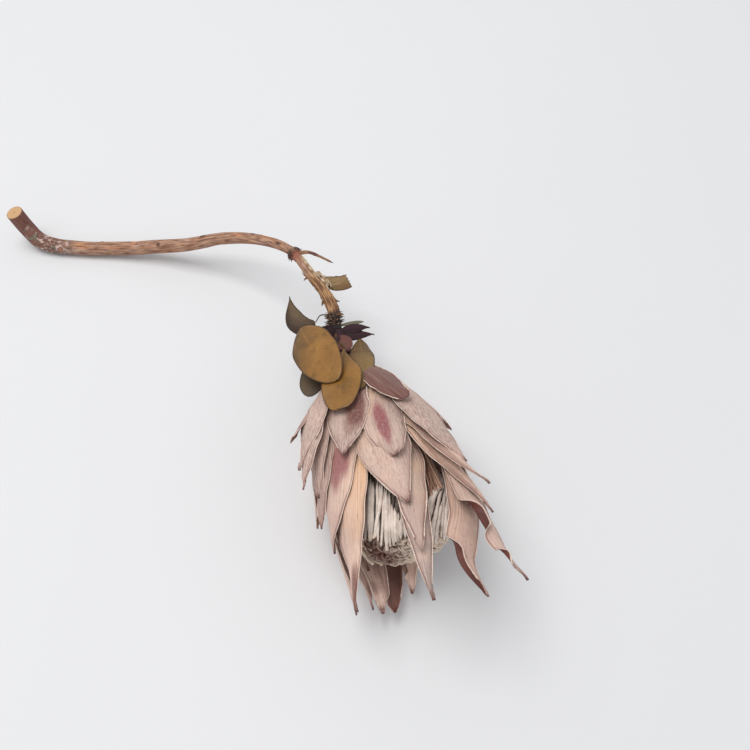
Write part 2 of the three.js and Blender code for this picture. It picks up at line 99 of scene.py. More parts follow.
# Bracts, each with the values of BRACT_SHAPE first. turn is in degrees round the axis, 0 on top,
# at the root, the middle and the tip. root and reach are along the axis, belly and flare are
# distances from it at the middle and the tip, widest is the place of its full width, and a higher
# taper makes its tip slimmer. The rest says how one looks: peach at its base, more on one
# peach_hand of it, grey at its end, silver fuzz, a dark cast, a pale inside, how dry its tip is,
# and a blush or a stain (place along, place across, length, width, strength). hook bends its tip,
# full swells it, crumple crinkles its tip, calm is the share of its relief that it keeps, face is
# the way that it faces, tone is its tint on the collar, sway moves it aside (place along, degrees),
# and each of its rolls turns a margin out, or in below 0 (hand, start, full, end, degrees, and
# where across it begins and ends).
SEEN_BRACTS = [
    bract_row((-18, -21, -35), 3, 67, 33, 41, 24, 0.6, 0.8, peach=0.1, grey=0.55,
        stain=(0.56, -0.4, 0.3, 0.55, 1), fuzz=0.7),
    bract_row((26, 7, 1), 4, 78, 32, 41, 23, 0.65, 0.5, peach=0.6, peach_hand=1, grey=0.55,
        blush=(0.74, 0.12, 0.2, 0.34, 1), fuzz=0.35, crumple=1),
    bract_row((13, -3, -1), 7, 103, 33, 39, 29, 0.55, 0.9, peach=0.45, peach_hand=1, grey=0.35,
        fuzz=0.4, hook=1),
    bract_row((22, 11, -4), 9, 127, 31, 38, 22, 0.5, 0.9, peach=0.75, peach_hand=-1, grey=0.6,
        fuzz=0.2, dry=0.25),
    bract_row((42, 12.6, -8.4), 11, 150, 29.9, 33.9, 15, 0.6, 0.9, peach=0.35, grey=0.95, fuzz=0.25),
    bract_row((-32, -43, -85), 7, 105, 35, 40, 27, 0.6, 0.9, peach=0.45, grey=0.1,
        blush=(0.6, -0.25, 0.14, 0.5, 0.9), fuzz=0.2),
    bract_row((-62, -56, -70), 5, 78, 36, 43, 20, 0.55, 0.8, peach=0.2, grey=0.4, fuzz=0.5),
    bract_row((-64, -56, -84), 6, 91, 35.3, 42.5, 20, 0.55, 0.9, peach=0.1, grey=0.3, dark=0.3,
        fuzz=0.6),
    bract_row((-28, -43, -86), 10, 138, 32, 37, 25, 0.5, 0.9, peach=1, grey=0.05,
        stain=(0.92, -0.5, 0.1, 0.45, 0.85), fuzz=0.1, hook=2, full=3.5),
    bract_row((-105, -118, -98), 9, 135, 36, 37, 24, 0.45, 1, peach=0.4, grey=0.15, fuzz=0.2),
    bract_row((12, 15, 25), 3, 48, 30, 42, 17.5, 0.6, 0.6, peach=0.4, dark=1, fuzz=0),
    bract_row((42, 34, 43), 4, 90, 37.5, 50.5, 22, 0.5, 0.9, peach=0.1, grey=0.6, dark=0.1, fuzz=0.9),
    bract_row((36, 34.5, 42), 6, 107, 36, 57.5, 19, 0.45, 1.1, peach=0.7, grey=0.25, fuzz=0.35,
        stain=(0.75, 0.6, 0.3, 0.35, 0.5), hook=1),
    bract_row((36, 35, 45), 8, 119, 36.3, 53.2, 20, 0.45, 1.1, peach=0.8, grey=0.15, fuzz=0.25,
        stain=(0.8, 0.7, 0.25, 0.35, 0.5), hook=-1),
    bract_row((125, 53, 30.5), 10, 157.5, 38, 45.4, 20.5, 0.62, 0.7, peach=0.5, grey=0, pale=0,
        fuzz=0.14, dry=0.5, hook=-2, sway=(0.86, -14), rolls=[(1, 0.8, 0.85, 1.02, 165, 0.32, 0.56)]),
    bract_row((105, 48, 31.5), 9, 160, 40, 65.2, 20.5, 0.5, 1, peach=0.3, grey=0.25, pale=0, fuzz=0.15,
        hook=2, rolls=[(1, 0.67, 0.75, 0.84, 160, 0.25, 0.6), (1, 0.87, 0.9, 0.96, 160, 0.1, 0.5)]),
    bract_row((-69, -63, -63), 3, 48, 31, 52, 14, 0.5, 1, peach=0.1, dark=0.55, fuzz=0.2),
    bract_row((-52, -50, -63), 3, 64, 37.5, 51, 20, 0.5, 1, peach=0.1, grey=0.6, dark=0.1, fuzz=0.85),
    bract_row((-62, -54, -62), 4, 75, 39, 52.5, 19, 0.5, 1, peach=0.1, grey=0.5, dark=0.1, fuzz=0.85),
    bract_row((185, 196, 212), 11, 136, 32, 31, 26, 0.6, 0.7, peach=0.4, pale=0.1, dark=0.2,
        rolls=[(-1, 0.4, 0.58, 0.97, -130, 0.2, 1)]),
    bract_row((189, 205, 224), 9, 135, 34, 34, 20, 0.6, 0.75, peach=0.5, pale=1),
    bract_row((215, 222, 231), 10, 132, 34, 36, 20, 0.6, 0.75, peach=0.6, pale=1),
    bract_row((165, 171, 190), 10, 129, 32, 32, 20, 0.6, 0.7, peach=0.5, pale=1, hook=-5,
        rolls=[(-1, 0.4, 0.58, 0.95, -150, 0.2, 1)]),
]

# Tiers of bracts round the sides and the underside, from the outermost to the innermost, what
# they all share, and how far the draw may move one. A tucked one flares less, by TUCK.
HIDDEN_TIERS = [
    dict(turns=(80, 125, 178, 231), root=3, reach=56, belly=29, flare=40, width=21),
    dict(turns=(66, 106, 149, 209, 246), tucked=(66,), root=6, reach=84, belly=34, flare=48, width=23),
    dict(turns=(88, 130, 178, 221, 266, 290), root=8, reach=106, belly=33, flare=36, width=25),
]
HIDDEN_LOOKS = {
    "widest": 0.5, "taper": 0.9, "peach": 0.35, "grey": 0.3, "fuzz": 0.4, "pale": 0.4,
}
HIDDEN_JITTER = {"turn": 4, "reach": 5, "flare": 2}
TUCK = 8

# Small bracts on the collar, most of them dark, and what they all share
COLLAR_CALM = {"calm": 0.35, "crumple": 0.1}
COLLAR_BRACTS = [
    bract_row((-64, -67, -69), -20, -26, 6, 10, 8, 0.4, 1),
    bract_row((-60, -66, -70), -19, -20.5, 6.5, 10, 9, 0.4, 1),
    bract_row((-50, -46, -44), -19, -6, 8, 12, 11, 0.5, 0.7),
    bract_row((66, 67.5, 67), -18.5, -9.3, 11.6, 19.8, 6.8, 0.3, 1.5, face=(0.1, -0.2, 1)),
    bract_row((60, 63, 64), -21.5, -14.2, 12, 19.3, 6, 0.3, 1.6, face=(0.1, -0.2, 1)),
    bract_row((4, 0, -3), -19, -1, 9, 13, 11, 0.5, 0.6, tone="pink"),
    bract_row((71, 69, 67.5), -25.5, -20, 10, 16.8, 2.4, 0.5, 0.8, tone="grey", face=(0, -0.2, 1)),
    bract_row((150, 150, 152), -12, 2, 10, 17, 9, 0.4, 1),
    bract_row((215, 213, 210), -13, 1, 10, 18, 9, 0.4, 1),
]

# How a bract is bent across and waved, how its root is set, and how it lies over its neighbours
BRACT_BEND = {"base": 0.42, "tip": 0.5}
BRACT_WAVES = {"radius": 0.6, "swing": 1.4, "twist": 0.12, "tip_twist": 0.8, "width": 0.06}
ROOT_SINK = 2.2
SOLID_THICK = 0.8
FLOOR_CLEAR = 0.02
RESTING_ROOT = 6
INNERMOST_ROOT = 12
LAYER_RISE = 0.5
STYLE_RIB = 1.6
STYLE_SWIRL = -36
SWAY_LENGTH = 0.12
ROOT_WIDTH = 0.3
CREASES = 7

# The styles that show: a radius, and points along each as distance along the axis, distance from
# it and degrees round it. First those in the left gap, then the looser ones at the right.
FRONT_STYLES = [
    (1.00, (78.4, 25.1, -32), (88.1, 25.9, -41), (96.9, 26.5, -50.5), (105, 26.1, -65)),
    (1.45, (78.3, 26.3, -28), (88.6, 26.9, -36.5), (98.4, 27.2, -45), (107.3, 26, -57.5)),
    (1.00, (80.7, 25.7, -27), (90.1, 26.4, -34.5), (99.3, 26.8, -42.5), (107.2, 25.8, -54.5)),
    (0.95, (81.2, 26.3, -21.5), (91.5, 27, -28.5), (100.8, 27, -36), (109.6, 25, -47)),
    (0.80, (82.7, 25.6, -20), (91.8, 26.7, -28), (100.2, 27.1, -36), (107.7, 26.3, -47)),
    (1.00, (83.1, 26.9, -16), (92.4, 27.6, -25), (100.5, 27.8, -35), (107.8, 26.7, -49)),
    (0.85, (86.1, 26, -16.5), (95.7, 26.6, -24.5), (104.7, 26.2, -33.5), (112, 23.2, -49)),
    (1.30, (87.7, 27.1, -15), (97.4, 27.5, -22), (107, 26.4, -30), (114.5, 20.6, -48.5)),
    (0.90, (89.2, 26.4, -13.5), (98.4, 26.8, -19.5), (106.9, 25.9, -26.5), (113.8, 21, -40)),
    (1.05, (96.5, 27.3, -15), (103.3, 26.8, -19.5), (109.2, 25.3, -25), (114.1, 20.4, -34.5)),
    (1.00, (99, 28, -13), (104.2, 27.4, -16.5), (109.2, 26.1, -21), (113.6, 22.6, -27.5)),
    (0.90, (101.8, 27, -11.5), (105.7, 26.4, -15.5), (109.6, 25.2, -19), (112.9, 22.5, -24.5)),
    (1.10, (104.8, 27.3, -10.5), (107.7, 26.5, -13), (110.5, 25.1, -16), (112.8, 23, -19.5)),
    (0.90, (107.3, 26, -8.5), (109.2, 25.3, -10.5), (111.2, 24, -12), (113, 22.1, -14)),
    (0.90, (89.4, 25, -49), (94.6, 25.6, -54.5), (99.8, 25.8, -61.5), (104.3, 25.5, -72.5)),
    (0.80, (94.6, 24.8, -62.5), (97.5, 25.1, -67.5), (100.1, 25.3, -73.5), (102.2, 25.4, -83.5)),
]
LOOSE_STYLES = [
    (0.95, (87, 28.2, 59.5), (96.8, 28.5, 34.5), (104.3, 27.8, 22), (110.7, 25.6, 13)),
    (0.90, (89.7, 27.7, 51), (98.6, 28, 32.5), (106.1, 27.1, 22), (112.6, 23.9, 15)),
    (0.85, (92.4, 27.7, 40.5), (97.7, 27.7, 29.5), (102.7, 27.3, 21.5), (107, 26.5, 16)),
    (0.95, (87.1, 27.7, 65), (99.6, 28, 37.5), (108.5, 26.5, 26.5), (115.4, 19.6, 24)),
    (1.00, (100.9, 29.1, 34), (108.3, 27.3, 26), (114.3, 22.2, 23), (117.7, 9.7, 50)),
    (1.00, (101.5, 28.5, 38.5), (108.2, 26.9, 31.5), (113.7, 22.7, 29.5), (117, 14, 45)),
    (0.95, (91.2, 27.6, 61.5), (101.8, 27.6, 43), (109.8, 25.7, 36.5), (115.8, 18.3, 45)),
    (1.00, (100.2, 28.5, 49), (107.5, 27.2, 41.5), (113.1, 23.8, 41.5), (116.6, 16.6, 62.5)),
    (0.95, (101.2, 27.7, 55.5), (108.1, 26.4, 48), (113.1, 23.2, 50), (116.1, 17.4, 75.5)),
    (1.00, (105.9, 27.7, 21), (111.5, 25.2, 16), (115.8, 18.6, 14.5), (117.9, 5.4, 45.5)),
    (0.90, (108, 26.2, 25), (112.3, 23.6, 21.5), (115.8, 17.3, 23), (117.5, 7.4, 57)),
    (0.90, (94.5, 26.8, 71.5), (103.5, 26.6, 57.5), (110.7, 24.7, 53), (114.8, 20, 71.5)),
    (0.80, (88.9, 26.6, 70.5), (96.8, 27.2, 56.5), (103.9, 26.9, 47.5), (110.2, 25.4, 43.5)),
]
# The thin threads begin between the first two places and end between the other two
THREAD_STARTS = np.array([(59, 24, 41), (70, 25.5, 48)])
THREAD_ENDS = np.array([(98, 26.8, 26), (93, 27.8, 50)])

# The stretch round the mass, in degrees, where only the styles above stand out
STYLES_SEEN = (-38, 84)

# Leaves. The stalk runs from the stem to the blade's base, the midline passes through middle to
# the tip, and face is the way that the blade faces. cup is half the arc that it is bent into, a
# higher blunt (base half, tip half) makes an end slimmer, hands are the shares of its width at
# each side of the midline, and shaded darkens its base more on one side.
LEAVES = {
    "leaf_ochre_large": dict(
        stalk=[(-23.4, 6, 45.5), (-30, 0.5, 47), (-41.8, -1, 55)], middle=(-33.6, -22.5, 66.5),
        tip=(-19.2, -46.6, 76), face=(-0.6, 0.1, 1), width=26, cup=0.35, blunt=(0.55, 0.55), shaded=-0.8,
        finish="ochre"),
    "leaf_ochre_long": dict(
        stalk=[(-22.8, 4, 45), (-21.5, -6, 50.5), (-17, -16.5, 60.5)], middle=(-18.1, -42.7, 72.8),
        tip=(-17.6, -66.2, 80), face=(-0.4, 0.5, 1), width=23, cup=0.35, blunt=(1.8, 0.36), finish="ochre"),
    "leaf_olive": dict(
        stalk=[(-22.8, 6, 45), (-12.5, 1.5, 44.3), (-8.7, -4, 48.3)], middle=(-7.4, -27.5, 63.5),
        tip=(-7.2, -52.5, 76), face=(-0.05, 0.6, 1), width=14.5, cup=0.4, blunt=(0.75, 0.75),
        finish="olive"),
    "leaf_folded": dict(
        stalk=[(-26.6, 12.9, 47.5), (-31.7, 11.8, 48.2), (-34.5, 7.5, 48)], middle=(-43.6, 9.4, 49),
        tip=(-49.9, 25.4, 47.5), face=(-0.1, -0.45, 0.9), width=18, cup=0.5, blunt=(0.4, 1.35),
        hands=(1, 0.35), shaded=1.8, finish="brown", stalk_radius=0.4),
    "leaf_grey": dict(
        stalk=[(-23.6, 8, 45.5), (-28, 0, 42), (-29, -14, 43.5)], middle=(-33.6, -28, 48.5),
        tip=(-37, -41, 47), face=(-0.3, -0.2, 1), width=16, cup=0.2, blunt=(0.45, 0.45), finish="grey"),
    "leaf_torn": dict(
        stalk=[(-33.5, 38, 49.5), (-32.4, 37.8, 50.5), (-31.3, 37.4, 51)], middle=(-23.4, 31.9, 52),
        tip=(-15.4, 33.2, 53), face=(0.1, -0.5, 1), width=8.5, cup=0.35, blunt=(0.8, 0.8), finish="torn",
        torn=True),
}
LEAF_SLOTS = {
    "ochre": "leaf_ochre", "olive": "leaf_olive", "brown": "leaf_brown", "grey": "leaf_grey",
    "torn": "leaf_olive",
}
LEAF_GLOSS = {"ochre": 0.42, "olive": 0.5, "brown": 0.55, "grey": 0.55, "torn": 0.55}
TORN_END = 0.5
LEAF_GRAIN = 50
STALK_DEPTH = 1.1
STALK_RADIUS = 0.85

# What stands out of the stem: its twig, torn stubs and peeled strips. Each has its points, and its
# radius at both ends.
TWIG = dict(
    points=[(-47, 55, 50), (-39.7, 52.2, 55), (-34.7, 48.8, 57), (-24.5, 41.4, 59)], radii=(1.3, 0.5))
STUBS = [
    dict(points=[(-38, 39, 50), (-42, 35, 50.5)], radii=(1.7, 0.7)),
    dict(points=[(-29, 25, 49), (-29.6, 22, 50), (-30.8, 17.5, 50)], radii=(2.2, 1)),
    dict(points=[(-26, 22, 49.5), (-20.5, 19.5, 51.5)], radii=(2, 0.9)),
    dict(points=[(-24, 14, 48), (-18, 11.5, 50)], radii=(2.2, 0.9)),
    dict(points=[(-24, 14, 47), (-29.5, 13.5, 44.5)], radii=(2.2, 0.8)),
]
PEELS = [
    dict(points=[(-34, 39.6, 52.3), (-31.4, 36.6, 54), (-28.7, 33.4, 54), (-27.4, 29.6, 52.6)],
         radii=(0.9, 0.6)),
    dict(points=[(-35, 39, 52.8), (-32.4, 35.2, 54), (-29.4, 31.6, 53.6), (-27, 27.2, 52.3)],
         radii=(0.8, 0.5)),
    dict(points=[(-30.6, 34.6, 53), (-27.4, 32.4, 54.4), (-25.2, 28.8, 52.6)], radii=(0.7, 0.5)),
    dict(points=[(-43, 49, 53), (-39.6, 43.6, 53.8), (-36, 38.4, 53)], radii=(0.7, 0.4)),
]

# Ragged scales and torn slivers of bark: the stretch of the stem that has them, as shares of its
# length, how many, the radius that they begin at or within, and how long they are
SCALES = [
    dict(
        stretch=(NODE_RING["at"] - 0.004, NODE_RING["at"] + 0.008), count=26, radius=3.7,
        lengths=(1.2, 3)),
    dict(stretch=(0.962, 0.99), count=110, radius=2.8, lengths=(1.5, 4.8)),
]
SLIVERS = dict(stretch=(0.85, 0.985), count=90, radius=2.6, lengths=(2, 6), radii=(0.2, 0.5))

# Marks on the bark: place along the stem, degrees round it, half length in millimetres, width
SCARS = {
    "scar": [(0.335, 0, 2.2, 0.7), (0.2, 40, 5, 0.35), (0.47, -40, 4, 0.3), (0.62, 30, 5, 0.35),
             (0.7, -20, 4, 0.4), (0.55, 160, 5, 0.4), (0.84, -30, 3, 0.4)],
    "knot": [(0.52, 10, 2.2, 0.4), (0.25, -30, 1.2, 0.3), (0.4, 50, 1.4, 0.3), (0.66, 0, 1.5, 0.35),
             (0.74, 40, 2, 0.3), (0.3, 200, 2, 0.4)],
}
STRIP_SIDE = -50

# Growth rings on the cut face: their phase at its rim, and how much they waver
GROWTH = {"phase": 38.0, "waver": 9.0}

# The mass of florets: its filled core, its dome of curled ends with the height at four distances
# from the axis, the ends' radii, sizes and bends in radians, the side that is dusky, and the turn
# from one end to the next
CORE = {"inset": 3.2, "end": 113.4}
DOME = {"radius": 23.6, "distances": (0, 15, 21, 24), "heights": (115.2, 113.5, 108.5, 101)}
CURL = {"radii": (0.72, 0.34), "sizes": (0.9, 2.2), "bends": (2.2, 4.8)}
DUSK = {"side": -80, "spread": 42, "strength": 0.9}
GOLDEN_TURN = 137.508
THREAD_RADII = (0.26, 0.46)

# Rings of styles round the mass: how many fewer than the setting, how far they stand off it and how
# dark they are painted, as shade deep in the mass. Then what all have: how far one may turn aside, the
# lengths along the profile where they start, the radii of the dome where they end, and their own radii.
STYLE_RINGS = {
    "styles_inner": dict(fewer=0, rises=(-1.2, 0.2), deep=0.3),
    "styles_outer": dict(fewer=4, rises=(1, 2.9), deep=0.0),
}
RING_STYLE = {"aside": 2.6, "starts": (2, 8), "ends": (21.5, 24), "radii": (0.9, 1.35)}

# The hairs along a margin: how many to a millimetre, and their radius
HAIRS = {"count": 2.6, "radius": 0.08}

# The constants of the repeatable draw
DRAW = {"factor": 1664525, "step": 1013904223, "size": 4294967296}

# What is painted on each kind of piece for its material, and within what reach of a margin
# dark holds the dried tips, a dark cast and painted shade at the base of each bract
BRACT_PAINTS = ("peach", "grey", "blush", "stain", "dark", "fuzz", "inset", "pale")
COLLAR_PAINTS = ("tone_pink", "tone_grey")
# deep is painted shade among the strands
STYLE_PAINTS = ("deep", "brown", "dusk")
LEAF_PAINTS = ("vein", "rim", "shade")
BARK_PAINTS = ("maroon", "flake", "red", "torn", "strip", "scar", "knot", "char", "reach")
INSET_REACH = 4.0

# Cells of a mesh, along it and across or round it, and the seed of each group's draws
SEEN_CELLS = (96, 28)
HIDDEN_CELLS = (60, 20)
COLLAR_CELLS = (24, 10)
LEAF_CELLS = (64, 32)
STEM_CELLS = (520, 48)
SEEDS = {"bracts": 5, "hidden": 7, "florets": 23, "leaves": 31, "stem": 41, "collar": 53}

# The camera: its distance in millimetres, its height above the horizon and its view, in degrees.
# Then the lamp, placed in the flower's millimetres and sized in metres, the sky's tint, half the
# floor's width in metres, and how bright the floor's darker clouds are.
CAMERA = {"distance": 600, "elevation": 60, "view": 42}
LAMP = {"place": (-700, 250, 2400), "size": (1.5, 1.3), "tint": (1.0, 0.985, 0.96)}
SKY_TINT = (0.99, 0.995, 1.0)
FLOOR_REACH = 4.0
FLOOR_CLOUD = 0.985


def lerp(a, b, t):
    return a + (b - a) * t


def ease(low, high, x):
    """0 below low, 1 above high, and smooth between them."""
    t = np.clip((np.asarray(x, float) - low) / (high - low), 0, 1)
    return t * t * (3 - 2 * t)


def unit(v):
    v = np.asarray(v, float)
    return v / np.maximum(np.linalg.norm(v, axis=-1, keepdims=True), 1e-12)


def through(a, b, c, t):
    """The smooth curve through a at 0, b at a half and c at 1."""
    pull = 2 * b - (a + c) / 2
    return (1 - t) ** 2 * a + 2 * t * (1 - t) * pull + t * t * c


def wobble(x, rng, slow, fast, waves=5):
    """A smooth random line along x, mostly between -1 and 1, with slow to fast swings per unit."""
    total = 0
    for _ in range(waves):
        swings, phase, weight = rng.uniform(slow, fast), rng.random(), rng.uniform(0.5, 1)
        total = total + weight * np.sin(2 * np.pi * (swings * x + phase))
    return total * 1.4 / waves


def around(x, angle, rng, lobes, slow, fast, waves=9):
    """The same on a tube: x along it, and an angle round it that closes on itself."""
    total = 0
    for _ in range(waves):
        lobe, swings = rng.integers(lobes[0], lobes[1] + 1), rng.uniform(slow, fast)
        phase, weight = rng.uniform(0, 2 * np.pi), rng.uniform(0.5, 1)
        total = total + weight * np.sin(lobe * angle + 2 * np.pi * swings * x + phase)
    return total * 1.4 / waves


def each_hand(t, u, rng, slow, fast):
    """A smooth random line of its own for each margin of a blade."""
    right, left = wobble(t, rng, slow, fast), wobble(t, rng, slow, fast)
    return np.where(u[None, :] > 0, right[:, None], left[:, None])


def shake(t, amount, rng, slow, fast):
    """Small random moves in all directions, for the points of a line."""
    return amount * np.stack([wobble(t, rng, slow, fast) for _ in range(3)], 1)


def lengths_along(line):
    return np.concatenate([[0], np.cumsum(np.linalg.norm(np.diff(line, axis=0), axis=1))])


def profile_radius(profile, s):
    places, radii = zip(*profile)
    return np.interp(s, places, radii, right=0)


# The head's own directions: along its axis, up, and to the right of the axis as seen from above
_heading, _nod = math.radians(HEAD["heading"]), math.radians(HEAD["nod"])
ALONG = np.array([
    math.sin(_heading) * math.cos(_nod), -math.cos(_heading) * math.cos(_nod), math.sin(_nod),
])
UPWARD = unit(np.array([0, 0, 1]) - ALONG * ALONG[2])
SIDEWAYS = unit(np.cross(UPWARD, ALONG))


def outward(turn):
    angle = np.radians(np.asarray(turn, float))[..., None]
    return UPWARD * np.cos(angle) + SIDEWAYS * np.sin(angle)


def on_head(s, r, turn):
    s, r = np.asarray(s, float)[..., None], np.asarray(r, float)[..., None]
    return np.array(HEAD["seat"]) + ALONG * s + outward(turn) * r


def in_row_frame(points):
    """Millimetres of the flower's own frame to metres of the row frame."""
    turn = math.radians(LAY["turn"])
    points = np.asarray(points, float)
    x = points[:, 0] * math.cos(turn) - points[:, 1] * math.sin(turn) + LAY["x"]
    y = points[:, 0] * math.sin(turn) + points[:, 1] * math.cos(turn) + LAY["y"]
    return np.stack([x, y, points[:, 2]], 1) * MM


class Shape:
    """Points and faces with what is painted on them, gathered until they become one piece."""

    def __init__(self, *paints):
        self.points, self.faces, self.finishes, self.grain = [], [], [], []
        self.paints = {name: [] for name in paints}
        self.count = 0

    def add(self, points, faces, finish=0, grain=None, **paints):
        points = np.asarray(points, float).reshape(-1, 3)
        self.points.append(points)
        self.faces += [tuple(int(v) + self.count for v in face) for face in faces]
        self.finishes += [finish] * len(faces)
        self.grain.append(np.zeros((len(points), 2)) if grain is None else np.reshape(grain, (-1, 2)))
        for name, values in self.paints.items():
            values.append(np.broadcast_to(np.ravel(paints.get(name, 0.0)), len(points)))
        self.count += len(points)


def make_piece(name, shape, finishes, nodes, slot):
    """One object from a shape, riding on the part's body and standing for its solids."""
    mesh = bpy.data.meshes.new(name)
    points = in_row_frame(np.concatenate(shape.points))
    points[:, 2] = np.maximum(points[:, 2], CAD_BOX[0].z)
    mesh.from_pydata(points.tolist(), [], shape.faces)
    mesh.polygons.foreach_set("material_index", shape.finishes)
    mesh.polygons.foreach_set("use_smooth", [True] * len(shape.faces))
    corners = np.zeros(len(mesh.loops), np.int32)
    mesh.loops.foreach_get("vertex_index", corners)
    grain = np.concatenate(shape.grain)[corners]
    mesh.uv_layers.new(name="grain").data.foreach_set("uv", grain.astype(np.float32).ravel())
    for paint, values in shape.paints.items():
        layer = mesh.attributes.new(paint, "FLOAT", "POINT")
        layer.data.foreach_set("value", np.concatenate(values).astype(np.float32))
    for finish in finishes:
        mesh.materials.append(finish)
    piece = bpy.data.objects.new(name, mesh)
    bpy.context.scene.collection.objects.link(piece)
    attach(piece, BODY)
    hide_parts(*nodes)


def grid_faces(rows, columns, closed=False, flip=False):
    """Quads over a grid of points, row by row. A closed grid joins its last column to its first."""
    faces = []
    for i in range(rows - 1):
        for j in range(columns if closed else columns - 1):
            a, b = i * columns + j, i * columns + (j + 1) % columns
            face = (a, b, b + columns, a + columns)
            faces.append(face[::-1] if flip else face)
    return faces


def capped_faces(rows, sides):
    """The faces of closed rings of points and of their two ends, whose middles come last."""
    faces = grid_faces(rows, sides, closed=True)
    for k in range(sides):
        following = (k + 1) % sides
        faces.append((rows * sides, following, k))
        faces.append((rows * sides + 1, (rows - 1) * sides + k, (rows - 1) * sides + following))
    return faces


def smooth_line(points, steps, detail=24):
    """A centripetal Catmull-Rom curve through the points, at even steps along its length."""
    points = np.asarray(points, float)
    ends = np.vstack([2 * points[0] - points[1], points, 2 * points[-1] - points[-2]])
    found = []
    for i in range(len(points) - 1):
        p0, p1, p2, p3 = ends[i:i + 4]
        pairs = ((p0, p1), (p1, p2), (p2, p3))
        d0, d1, d2 = [max(np.linalg.norm(b - a), 1e-6) ** 0.5 for a, b in pairs]
        m1 = ((p1 - p0) / d0 - (p2 - p0) / (d0 + d1) + (p2 - p1) / d1) * d1
        m2 = ((p2 - p1) / d1 - (p3 - p1) / (d1 + d2) + (p3 - p2) / d2) * d1
        t = np.linspace(0, 1, detail, endpoint=False)[:, None]
        found.append(
            (2 * t ** 3 - 3 * t ** 2 + 1) * p1 + (t ** 3 - 2 * t ** 2 + t) * m1
            + (3 * t ** 2 - 2 * t ** 3) * p2 + (t ** 3 - t ** 2) * m2)
    line = np.vstack([*found, points[-1:]])
    place = lengths_along(line)
    even = np.linspace(0, place[-1], steps + 1)
    return np.stack([np.interp(even, place, line[:, k]) for k in range(3)], 1), place[-1]


def carried_frames(line):
    """Two side directions at each point of a line, carried along it without a twist."""
    tangents = unit(np.gradient(line, axis=0))
    start = np.array([0, 0, 1.0]) if abs(tangents[0][2]) < 0.9 else np.array([1.0, 0, 0])
    sides = np.zeros_like(line)
    side = start
    for i, tangent in enumerate(tangents):
        side = unit(side - tangent * (side @ tangent))
        sides[i] = side
    return sides, np.cross(tangents, sides)


def tube(line, radii, sides):
    """Rings of points round a line. radii holds one number per row, or one per point."""
    side, other = carried_frames(line)
    angle = 2 * np.pi * np.arange(sides) / sides
    radii = np.broadcast_to(np.reshape(radii, (len(line), -1)), (len(line), sides))[..., None]
    rings = side[:, None] * np.cos(angle)[None, :, None] + other[:, None] * np.sin(angle)[None, :, None]
    return line[:, None] + rings * radii


def add_tube(shape, line, radii, sides, **paints):
    """A closed tube. Its paints hold one number for each row."""
    rings = tube(line, radii, sides)
    rows = len(line)
    places = np.concatenate([rings.reshape(-1, 3), line[:1], line[-1:]])
    across, down = np.meshgrid(np.arange(sides) / sides, lengths_along(line))
    grain = np.stack([across, down], -1).reshape(-1, 2)
    grain = np.vstack([grain, grain[:1], grain[-1:]])
    spread = {}
    for name, values in paints.items():
        values = np.broadcast_to(np.ravel(values), rows)
        spread[name] = np.concatenate([np.repeat(values, sides), values[:1], values[-1:]])
    shape.add(places, capped_faces(rows, sides), 0, grain, **spread)


def add_round(shape, profile, sides, **paints):
    """A closed round body about the head's axis."""
    places, radii = np.array(profile, float).T
    turns = np.arange(sides) * 360 / sides
    rings = on_head(places[:, None], radii[:, None], -turns[None, :])
    ends = on_head(places[[0, -1]], np.zeros(2), np.zeros(2))
    points = np.concatenate([rings.reshape(-1, 3), ends])
    shape.add(points, capped_faces(len(places), sides), **paints)


def rounded_profile(profile, steps):
    """A profile drawn as a smooth curve."""
    line, _ = smooth_line([(s, r, 0) for s, r in profile], steps)
    return [(s, max(r, 0)) for s, r, _ in line]


def add_hairs(shape, roots, directions, lengths, width, finish, **paints):
    """Slim three-sided spikes from their roots."""
    directions = unit(directions)
    helper = np.where(np.abs(directions[:, 2:]) < 0.9, [[0, 0, 1.0]], [[1.0, 0, 0]])
    side = unit(np.cross(directions, helper))
    other = np.cross(directions, side)
    corners = [
        roots + width * (side * math.cos(angle) + other * math.sin(angle))
        for angle in (0, 2 * math.pi / 3, 4 * math.pi / 3)
    ]
    tips = roots + directions * np.reshape(lengths, (-1, 1))
    points = np.stack([*corners, tips], 1).reshape(-1, 3)
    faces = []
    for k in range(len(roots)):
        a, b, c, tip = range(4 * k, 4 * k + 4)
        faces += [(a, c, b), (a, b, tip), (b, c, tip), (c, a, tip)]
    shape.add(points, faces, finish, **{name: np.repeat(values, 4) for name, values in paints.items()})


def blade_grid(cells):
    """Places along a blade, from 0 to 1, and across it, from -1 to 1 and closer at its margins."""
    rows, columns = cells
    return np.linspace(0, 1, rows + 1), np.sin(np.linspace(-1, 1, columns + 1) * np.pi / 2)


def blade_grain(t, u, half, length):
    """Millimetres across and along a blade, for the materials that follow its grain."""
    return np.stack([u[None, :] * half, np.broadcast_to((length * t)[:, None], half.shape)], -1)


def blade_surface(t, u, line, facing, half_width, bend, curl, lift):
    """Points and normals of a blade. line and facing hold a row for each t, u runs from -1 to 1
    across it, bend is half the arc that it is bent into, curl turns its margins further and
    lift raises points along the normal."""
    tangent = unit(np.gradient(line, axis=0))
    lateral = unit(np.cross(tangent, facing))
    normal = np.cross(lateral, tangent)
    angle = np.asarray(bend)[:, None] * u[None, :] + curl
    step = np.diff(u)[None, :]
    halfway = (angle[:, 1:] + angle[:, :-1]) / 2
    start = np.zeros((len(t), 1))
    x = np.hstack([start, np.cumsum(np.cos(halfway) * step, 1)])
    y = np.hstack([start, np.cumsum(-np.sin(halfway) * step, 1)])
    centre = len(u) // 2
    x, y = x - x[:, centre:centre + 1], y - y[:, centre:centre + 1]
    width = np.broadcast_to(np.reshape(half_width, (len(t), -1)), x.shape)
    points = line[:, None] + lateral[:, None] * (x * width)[..., None]
    points = points + normal[:, None] * (y * width)[..., None]
    normals = normal[:, None] * np.cos(angle)[..., None] + lateral[:, None] * np.sin(angle)[..., None]
    return points + normals * np.broadcast_to(lift, x.shape)[..., None], normals


